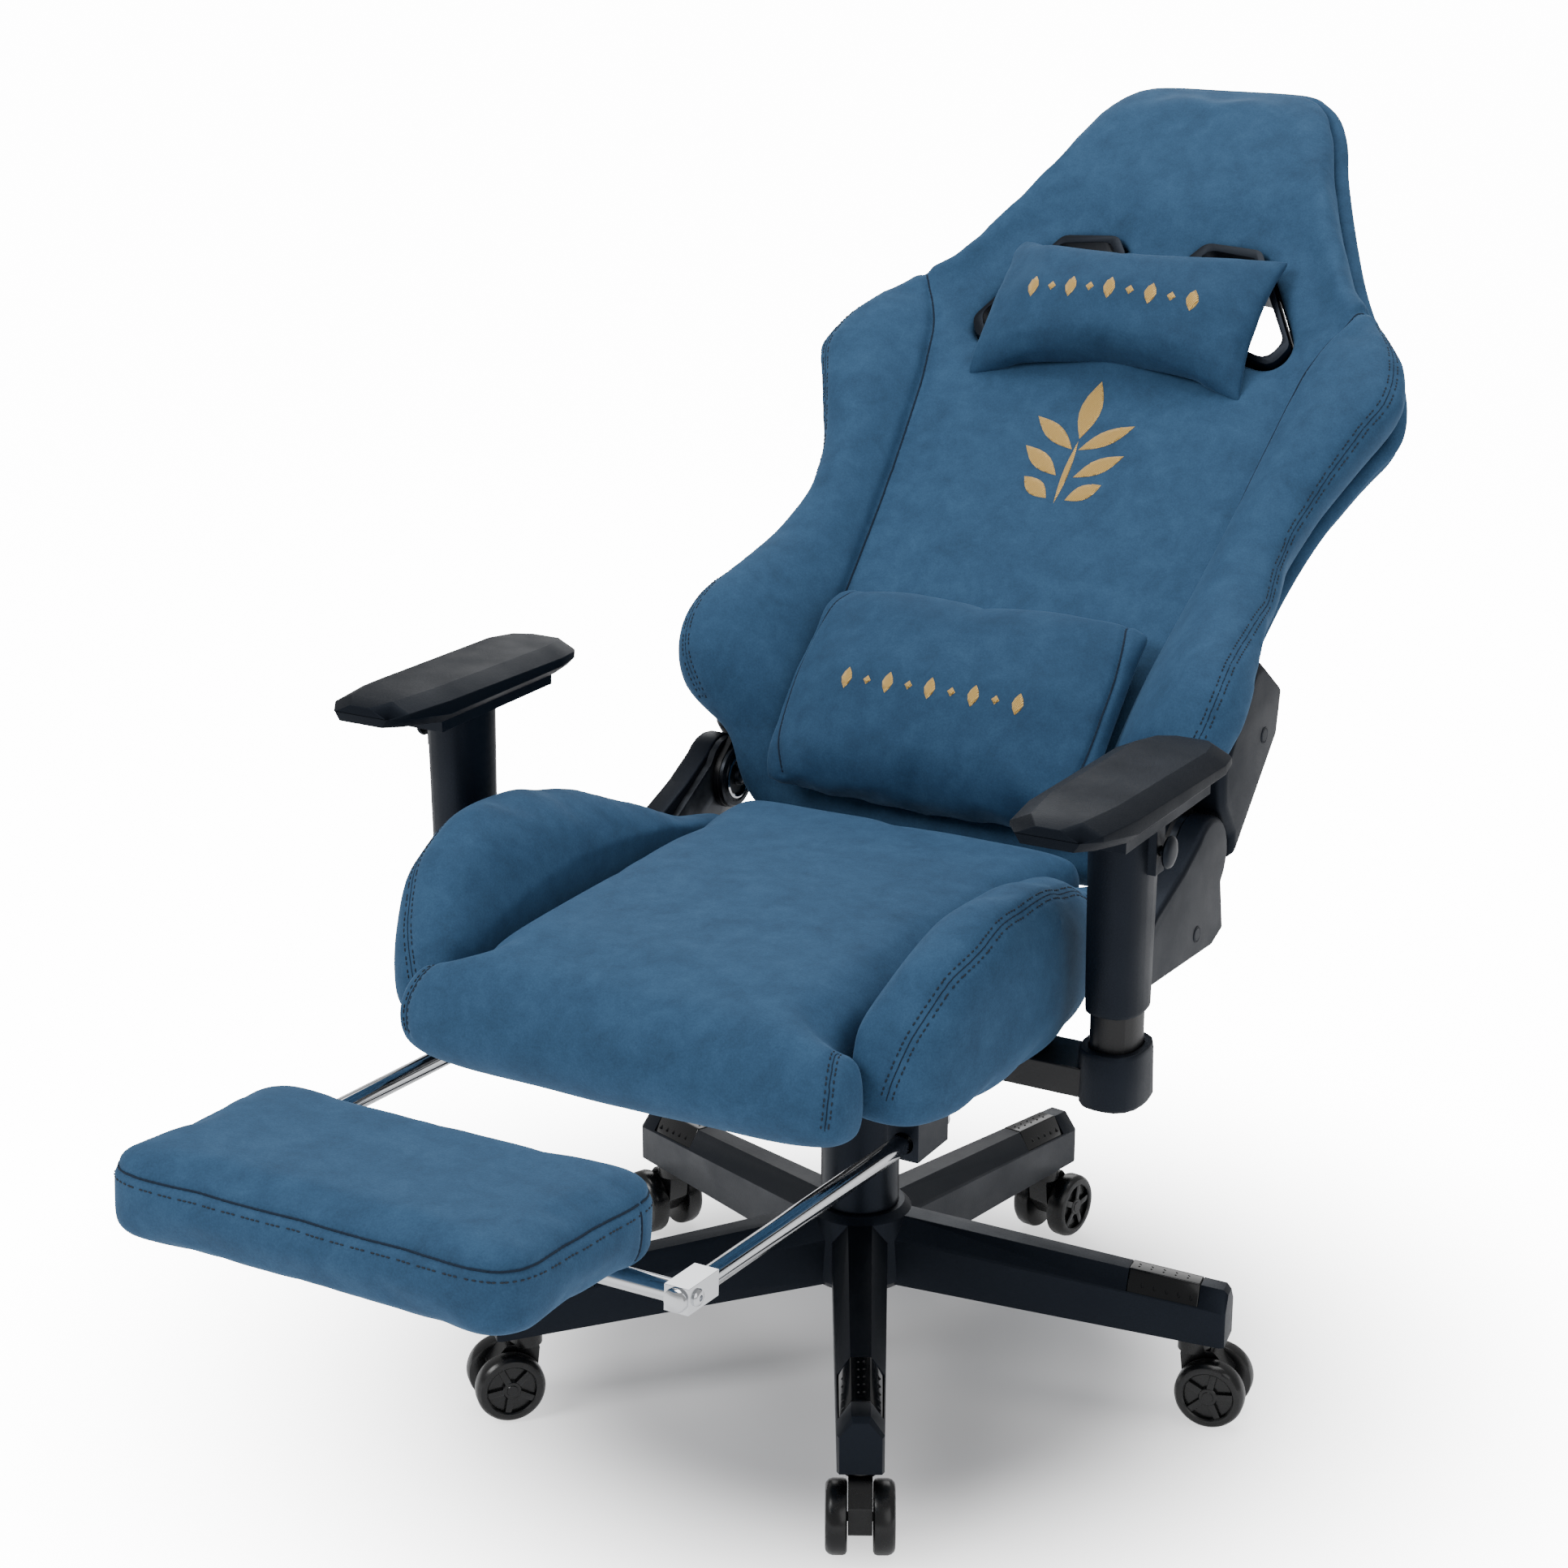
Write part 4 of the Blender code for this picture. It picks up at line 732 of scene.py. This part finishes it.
def eared(points):
    """Draws the head pillow's corners out to points and its long edges in, and keeps it off the panel."""
    across, up, out = back_places(points)
    middle_up = (up.min() + up.max()) / 2
    x = across / HEAD_HALF[0]
    y = (up - middle_up) / HEAD_HALF[1]
    corner = np.clip(np.abs(x) * np.abs(y), 0, 1.2) ** 3
    waist = 1 - 0.13 * (1 - np.clip(np.abs(x), 0, 1) ** 1.6)
    new_across = across + np.sign(x) * corner * 0.010
    new_up = middle_up + (up - middle_up) * waist + np.sign(y) * corner * 0.010
    new_out = np.maximum(out - corner * 0.004, 0.006)
    back = np.array([list(BACK_UP), list(BACK_OUT)])
    result = np.array(PIVOT) + new_up[:, None] * back[0] + new_out[:, None] * back[1]
    result[:, 0] += new_across
    return result


# ---------------------------------------------------------------- the seat

# Seams as (across, along, height) outside the surface they fall on: over the wing, and beside the middle
BOLSTER_STITCHING = ((0.208, -0.430, 0.420), (0.213, -0.425, 0.455), (0.222, -0.395, 0.500),
                     (0.234, -0.345, 0.540), (0.243, -0.300, 0.560), (0.247, -0.250, 0.570),
                     (0.247, -0.170, 0.570), (0.239, -0.100, 0.560), (0.221, -0.030, 0.540),
                     (0.213, 0.030, 0.520), (0.211, 0.082, 0.500))
SEAT_EDGE = ((0.162, 0.060, 0.52), (0.162, -0.080, 0.52), (0.162, -0.220, 0.52), (0.163, -0.320, 0.52),
             (0.169, -0.372, 0.52), (0.178, -0.420, 0.50), (0.184, -0.455, 0.460), (0.185, -0.460, 0.425),
             (0.183, -0.455, 0.400))
WING_FRONT = -0.27      # the wing's seam falls straight down behind this, and backwards in front of it
ROLL_FRONT = -0.335     # the same for the seat's middle
PAD_RISE = radians(4.6)     # the footrest pad's tilt, front up
PAD_CORNER = 0.034      # its corner radius
SEAT_SPLIT = 0.1705     # plane where the seat's middle meets its bolsters
SLEEVE_SIDE = 0.2725    # the bolsters keep inside the armrest sleeves
PLATE_SIDE = 0.2205     # and inside the recliner plates
PLATE_FRONT = -0.045


def clear_seat_middle(points):
    inside = points[:, 1] > -0.352
    points[inside, 0] = np.clip(points[inside, 0], -SEAT_SPLIT, SEAT_SPLIT)
    return points


def clear_bolster(points):
    side = np.sign(points[:, 0].mean())
    across = points[:, 0] * side
    share = np.clip((points[:, 1] - PLATE_FRONT + 0.06) / 0.06, 0.0, 1.0)
    across = np.clip(across, SEAT_SPLIT + 0.0006, SLEEVE_SIDE + (PLATE_SIDE - SLEEVE_SIDE) * share)
    points[:, 0] = across * side
    points[:, 2] = np.maximum(points[:, 2], 0.4025)
    return points


def falling(front):
    """A direction that is straight down behind the front, and turns backwards and level ahead of it."""
    def way(point):
        return Vector((0, max(front - point.y, 0.0), min(0.435 - point.z, 0.03)))
    return way


def seat():
    middle = upholstered("seat_cushion", "seat_upholstery", 0.0060, 20, 0.012, clear=clear_seat_middle)
    rows = [[Vector((side * across, along, height)) for across, along, height in SEAT_EDGE]
            for _, side in SIDES]
    double_stitched(middle, "seat_edge_stitching", rows, falling(ROLL_FRONT), "seat", gap=0.005)
    for name, side in SIDES:
        bolster = upholstered("seat_bolster_" + name, "seat_bolster_cover_" + name, 0.0050, 20, 0.013,
                              clear=clear_bolster)
        guide = [Vector((side * across, along, height)) for across, along, height in BOLSTER_STITCHING]
        double_stitched(bolster, "seat_bolster_stitching_" + name, [guide], falling(WING_FRONT), "seat")


def footrest_pad():
    """The pad's cover: a fold round the side just under its top, with a dark cord in it as painted shade, a
    row of stitches below, and side seams.
    """
    shape = copied("footrest_pad")
    hinge = Vector(JOINTS["footrest_flip"]["pos_m"])
    back = Vector((0, cos(PAD_RISE), -sin(PAD_RISE)))
    up = Vector((0, sin(PAD_RISE), cos(PAD_RISE)))
    ends = [(vert.co - hinge).dot(back) for vert in shape.verts]
    levels = [(vert.co - hinge).dot(up) for vert in shape.verts]
    half = max(vert.co.x for vert in shape.verts)
    shape.free()
    core = (half - PAD_CORNER, min(ends) + PAD_CORNER, max(ends) - PAD_CORNER)

    def placed(x, along, level):
        return hinge + Vector((x, 0, 0)) + back * along + up * level

    def inwards(point):
        x = min(max(point.x, -core[0]), core[0])
        along = min(max((point - hinge).dot(back), core[1]), core[2])
        level = (point - hinge).dot(up)
        return placed(x, along, level) - point

    def round_the_side(level):
        guide = []
        for quarter, (x, along) in enumerate(((core[0], core[2]), (-core[0], core[2]), (-core[0], core[1]),
                                              (core[0], core[1]))):
            for step in range(5):
                turn = pi / 2 * (quarter + step / 4)
                guide.append(placed(x + 0.05 * cos(turn), along + 0.05 * sin(turn), level))
        return guide + guide[:1]

    item = upholstered("footrest_pad", "footrest_pad_cover", 0.0046, 5, 0.005, pressure=3.0, ease=3)
    top = max(levels)
    fold = curve_through(round_the_side(top - 0.012))
    row = laid_on(item, curve_through(round_the_side(top - 0.0185)), inwards)
    line = laid_on(item, fold, inwards)
    pressed(item, line, 0.0034, 0.0020)
    # The dark cord in the fold is painted shade.
    cord_along("footrest_pad_fold_shade", [(place - normal * 0.0016, normal) for place, normal in line], 0.0008,
               "footrest_pad", SEAM_SHADE)
    for name, side in SIDES:
        seam = [placed(side * (half + 0.03), core[2] - 0.004, min(levels) + (top - min(levels)) * share)
                for share in (0.12, 0.35, 0.58, 0.78)]
        seamed(item, "footrest_pad_side_seam_shade_" + name, seam, Vector((-side, 0, 0)), "footrest_pad",
               depth=0.0014, width=0.0030)
    tree = BVHTree.FromObject(item, bpy.context.evaluated_depsgraph_get())
    stitches("footrest_pad_stitching", [[tree.find_nearest(place)[:2] for place, _ in row]], "footrest_pad")


# ---------------------------------------------------------------- base and casters

TREAD_INNER = 0.01025   # the wheel's two faces, from the middle of its caster
TREAD_OUTER = 0.02775
WHEEL_BORE = 0.0044


def wheel(number, name, side):
    """A caster wheel: a rounded tread, a dished face with five pockets between spokes, and a hub disc."""
    spin = JOINTS["wheel_spin_%d" % number]
    low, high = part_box("caster_wheel_%s_%d" % (name, number))
    radius = (high.z - low.z) / 2
    inner, outer, bore = TREAD_INNER, TREAD_OUTER, WHEEL_BORE
    tread = turned([(bore, inner), (radius - 0.003, inner), (radius - 0.0008, inner + 0.0012),
                    (radius, inner + 0.0035), (radius, outer - 0.0060), (radius - 0.0010, outer - 0.0030),
                    (radius - 0.0030, outer - 0.0008), (radius - 0.0055, outer), (0.0222, outer - 0.0002),
                    (0.0212, outer - 0.0012), (0.0206, outer - 0.0045), (bore, outer - 0.0045)], 56)
    hub = turned([(0, outer - 0.0050), (0.0082, outer - 0.0050), (0.0082, outer - 0.0016),
                  (0.0074, outer - 0.0008), (0.0050, outer - 0.0008), (0.0046, outer - 0.0002),
                  (0, outer - 0.0002)], 32)
    spokes = []
    for turn in range(5):
        spoke = bar((0.0055, -0.0030, outer - 0.0050), (0.0212, 0.0030, outer - 0.0012), 0.0009)
        spokes.append(moved(spoke, Matrix.Rotation(2 * pi * turn / 5 + 0.3, 4, "Z")))
    shape = gathered([tread, hub] + spokes)
    moved(shape, facing(spin["pos_m"], Vector(spin["axis"]) * side))
    made = piece("caster_wheel_finished_%s_%d" % (name, number), shape, "wheels_%d" % number, NYLON,
                 30)
    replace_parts(made, "caster_wheel_%s_%d" % (name, number))


def cap_ribs(number):
    """Chevron ribs across the foot cap, meeting on its ridge."""
    stem = Vector(JOINTS["caster_swivel_%d" % number]["pos_m"])
    along = Vector((stem.x, stem.y, 0)).normalized()
    side = Vector((-along.y, along.x, 0))
    cap = copied("foot_cap_%d" % number)
    tree = BVHTree.FromBMesh(cap)
    cap.free()
    ribs = []
    for step in range(5):
        reach = 0.250 + step * 0.0105
        for hand in (1, -1):
            ends = []
            for across, lead in ((0.0015, 0.0), (0.0155, 0.0065)):
                spot = along * (reach + lead) + side * across * hand
                place, _, _, _ = tree.ray_cast(Vector((spot.x, spot.y, 0.3)), Vector((0, 0, -1)))
                if place:
                    ends.append(place)
            if len(ends) == 2:
                span = ends[1] - ends[0]
                rib = bar((-0.0014, -0.0008, 0), (0.0014, 0.0008, span.length), 0.0006, 2)
                ribs.append(moved(rib, facing(ends[0], span)))
    piece("foot_cap_ribs_%d" % number, gathered(ribs), "base", GLOSS, 30)


def base():
    refined("star_base", BASE_NYLON, 0.0022, 3)
    for number in range(1, 6):
        refined("foot_cap_%d" % number, GLOSS, 0.0009)
        cap_ribs(number)
        refined("caster_fork_%d" % number, NYLON, 0.0008)
        for name, side in SIDES:
            wheel(number, name, side)
    refined("gas_cylinder", COATED, 0.0006)
    refined("gas_piston", CHROME, 0.0006)
    refined("column_cover_lower", SMOOTH, 0.0004)
    refined("column_cover_upper", SMOOTH, 0.0004)


# ---------------------------------------------------------------- mechanism, hinges and armrests

TAB_FACE = 0.2160               # inner face of the back's tab, from the chair's middle
HINGE_PLUG = (0.1279, 0.4040)   # along and height
BACK_PLUG = (0.134, -0.020)     # up and out of the back
BLOCK_HALF = 0.0095             # half the footrest's corner block, across
BLOCK_FACE = 0.0110             # its front face, from the crossbar's axis


def screw(name, place, direction, body, radius, height, material=ZINC):
    """A button-head screw with a hexagon socket."""
    head = turned([(0.0022, 0.0004), (0, 0.0004), (0, -0.001), (radius, -0.001), (radius, height * 0.35),
                   (radius * 0.86, height * 0.75), (radius * 0.6, height), (0.0022, height)], 24)
    return piece(name, moved(head, facing(place, direction)), body, material, 30)


def flush_plug(name, place, side, body):
    """A round plug that closes a screw hole in a cover, proud of its groove."""
    ring = turned([(0, -0.001), (0.0074, -0.001), (0.0074, 0.0002), (0.0070, 0.0006), (0.0064, 0.0006),
                   (0.0060, 0.0001), (0.0056, 0.0007), (0, 0.0008)], 32)
    piece(name, moved(ring, facing(place, (side, 0, 0))), body, TEXTURED, 30)


def recliner_disc(name, side):
    """The recliner's toothed disc and its bright ring, on the inner face of the back's tab."""
    disc = turned([(0, 0), (0.0290, 0), (0.0290, 0.0030), (0.0270, 0.0042), (0.0235, 0.0042),
                   (0.0225, 0.0030), (0, 0.0030)], 48)
    ring = turned([(0.0175, 0.0022), (0.0205, 0.0022), (0.0205, 0.0048), (0.0190, 0.0056),
                   (0.0175, 0.0048)], 48)
    place = PIVOT + Vector((side * (TAB_FACE - 0.0004), 0, 0))
    inwards = (-side, 0, 0)
    piece("recliner_disc_" + name, moved(disc, facing(place, inwards)), "back", ZINC, 30)
    piece("recliner_ring_" + name, moved(ring, facing(place, inwards)), "back", CHROME, 30)
    screw("recliner_bolt_" + name, place + Vector((-side * 0.003, 0, 0)), inwards, "seat", 0.0085, 0.0050)


def arm_button(name, side):
    """A mushroom button on its stem."""
    low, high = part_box("arm_button_" + name)
    middle = (low + high) / 2
    start = low.x if side > 0 else high.x
    reach = high.x - low.x
    knob = turned([(0, 0), (0.0034, 0), (0.0034, reach * 0.58), (0.0080, reach * 0.61),
                   (0.0118, reach * 0.67), (0.0126, reach * 0.77), (0.0118, reach * 0.87),
                   (0.0085, reach * 0.96), (0.0040, reach), (0, reach)], 36)
    moved(knob, facing((start, middle.y, middle.z), (side, 0, 0)))
    made = piece("arm_button_finished_" + name, knob, "button_" + name, SMOOTH, 40)
    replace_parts(made, "arm_button_" + name)


def mechanism():
    refined("mechanism_housing", COATED, 0.0025, 3)
    refined("seat_frame", COATED, 0.0010)
    refined("lift_lever", TEXTURED, 0.0012)
    refined("tension_knob", TEXTURED, 0.0012)
    refined("recline_lever", TEXTURED, 0.0015)
    refined("footrest_guides", TEXTURED, 0.0012)
    refined("back_frame", COATED, 0.0006, 1)
    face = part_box("hinge_cover_left")[1].x
    for name, side in SIDES:
        refined("recliner_plate_" + name, ZINC, 0.0008)
        refined("hinge_cover_" + name, TEXTURED, 0.0022, 3)
        refined("back_cover_" + name, TEXTURED, 0.0026, 3)
        refined("harness_trim_" + name, SMOOTH, 0.0014, 3)
        flush_plug("hinge_cover_plug_" + name, Vector((side * face, *HINGE_PLUG)), side, "seat")
        flush_plug("back_cover_plug_" + name, on_back(side * face, *BACK_PLUG), side, "back")
        recliner_disc(name, side)
        refined("arm_bracket_" + name, COATED, 0.0010)
        refined("arm_collar_" + name, TEXTURED, 0.0012, 3)
        refined("arm_sleeve_" + name, TEXTURED, 0.0010)
        refined("arm_pad_" + name, PAD_SKIN, 0.0040, 3, sharp=18.0)
        arm_button(name, side)


def footrest():
    refined("footrest_frame", CHROME, 0.0012)
    refined("footrest_bracket", ZINC, 0.0008)
    axis = Vector(JOINTS["footrest_slide"]["axis"])
    hinge = Vector(JOINTS["footrest_flip"]["pos_m"])
    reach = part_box("footrest_frame")[1].x
    rod_x = reach - BLOCK_HALF
    for name, side in SIDES:
        end = hinge + Vector((side * reach, 0, 0))
        screw("footrest_screw_" + name, end, (side, 0, 0), "footrest", 0.0062, 0.0030,
              CHROME)
        cap = turned([(0, -0.001), (0.0085, -0.001), (0.0088, 0.0015), (0.0080, 0.0032), (0.0050, 0.0042),
                      (0, 0.0046)], 32)
        moved(cap, facing(hinge + Vector((side * rod_x, 0, 0)) - axis * BLOCK_FACE, -axis))
        piece("footrest_end_cap_" + name, cap, "footrest", CHROME, 40)


# ---------------------------------------------------------------- stage

CAMERA_PLACE = (1.1809, -2.2217, 1.3633)
CAMERA_AIM = (-0.076, 0.0, 0.521)
CAMERA_LENS = 72.9


def stage():
    floor = bmesh.new()
    bmesh.ops.create_grid(floor, x_segments=1, y_segments=1, size=34.0)
    mesh = bpy.data.meshes.new("floor")
    floor.to_mesh(mesh)
    floor.free()
    material, tree, shader = start_material("pale_floor_painted_shadow", "#F6F6F7", 0.9, Emission_Color=(1.0, 1.0, 1.0, 1.0))
    # Camera rays see the floor glow at 0.05 within 0.2 m of the middle, rising to 14 by 0.85 m: a painted
    # shadow pool under the chair, added to the real shadows.
    away = add(tree, "ShaderNodeVectorMath", {0: coordinates(tree)}, operation="LENGTH").outputs["Value"]
    painted_shadow_glow = add(tree, "ShaderNodeMapRange", {"Value": away, "From Min": 0.20, "From Max": 0.85,
                                                  "To Min": 0.05, "To Max": 14.0},
                     interpolation_type="SMOOTHSTEP")
    seen = add(tree, "ShaderNodeLightPath").outputs["Is Camera Ray"]
    glow = add(tree, "ShaderNodeMapRange", {"Value": seen, "To Min": 0.25,
                                            "To Max": painted_shadow_glow.outputs["Result"]})
    tree.links.new(glow.outputs["Result"], shader.inputs["Emission Strength"])
    mesh.materials.append(material)
    ground = bpy.data.objects.new("floor", mesh)
    ground.location.z = -0.0006
    bpy.context.scene.collection.objects.link(ground)
    for name, place, aim, power, size in (
            ("key", (-1.6, -2.6, 2.9), (0.0, 0.0, 0.5), 70, 1.6),
            ("fill", (2.9, -1.8, 1.9), (0.0, 0.0, 0.5), 22, 2.4),
            ("top", (0.2, 0.6, 3.4), (0.0, 0.1, 0.4), 55, 2.2),
            ("rear", (-1.2, 2.8, 2.0), (0.0, 0.2, 0.6), 26, 2.0)):
        light = bpy.data.lights.new(name, "AREA")
        light.energy = power
        light.size = size
        holder = bpy.data.objects.new(name, light)
        holder.location = place
        holder.rotation_euler = (Vector(aim) - Vector(place)).to_track_quat("-Z", "Y").to_euler()
        bpy.context.scene.collection.objects.link(holder)
    world = bpy.data.worlds.new("studio")
    world.use_nodes = True
    tree = world.node_tree
    seen = add(tree, "ShaderNodeLightPath").outputs["Is Camera Ray"]
    strength = add(tree, "ShaderNodeMapRange", {"Value": seen, "To Min": 0.42, "To Max": 15.0})
    tree.nodes["Background"].inputs["Color"].default_value = (1.0, 1.0, 1.0, 1.0)
    tree.links.new(strength.outputs["Result"], tree.nodes["Background"].inputs["Strength"])
    bpy.context.scene.world = world
    camera = bpy.data.cameras.new("camera")
    camera.lens = CAMERA_LENS
    camera.sensor_width = 36.0
    camera.clip_end = 60.0
    holder = bpy.data.objects.new("camera", camera)
    holder.location = CAMERA_PLACE
    view = Vector(CAMERA_AIM) - Vector(CAMERA_PLACE)
    holder.rotation_euler = view.to_track_quat("-Z", "Y").to_euler()
    bpy.context.scene.collection.objects.link(holder)
    bpy.context.scene.camera = holder


def main():
    stage()
    base()
    mechanism()
    footrest()
    pillows(back_rest())
    seat()
    footrest_pad()


main()
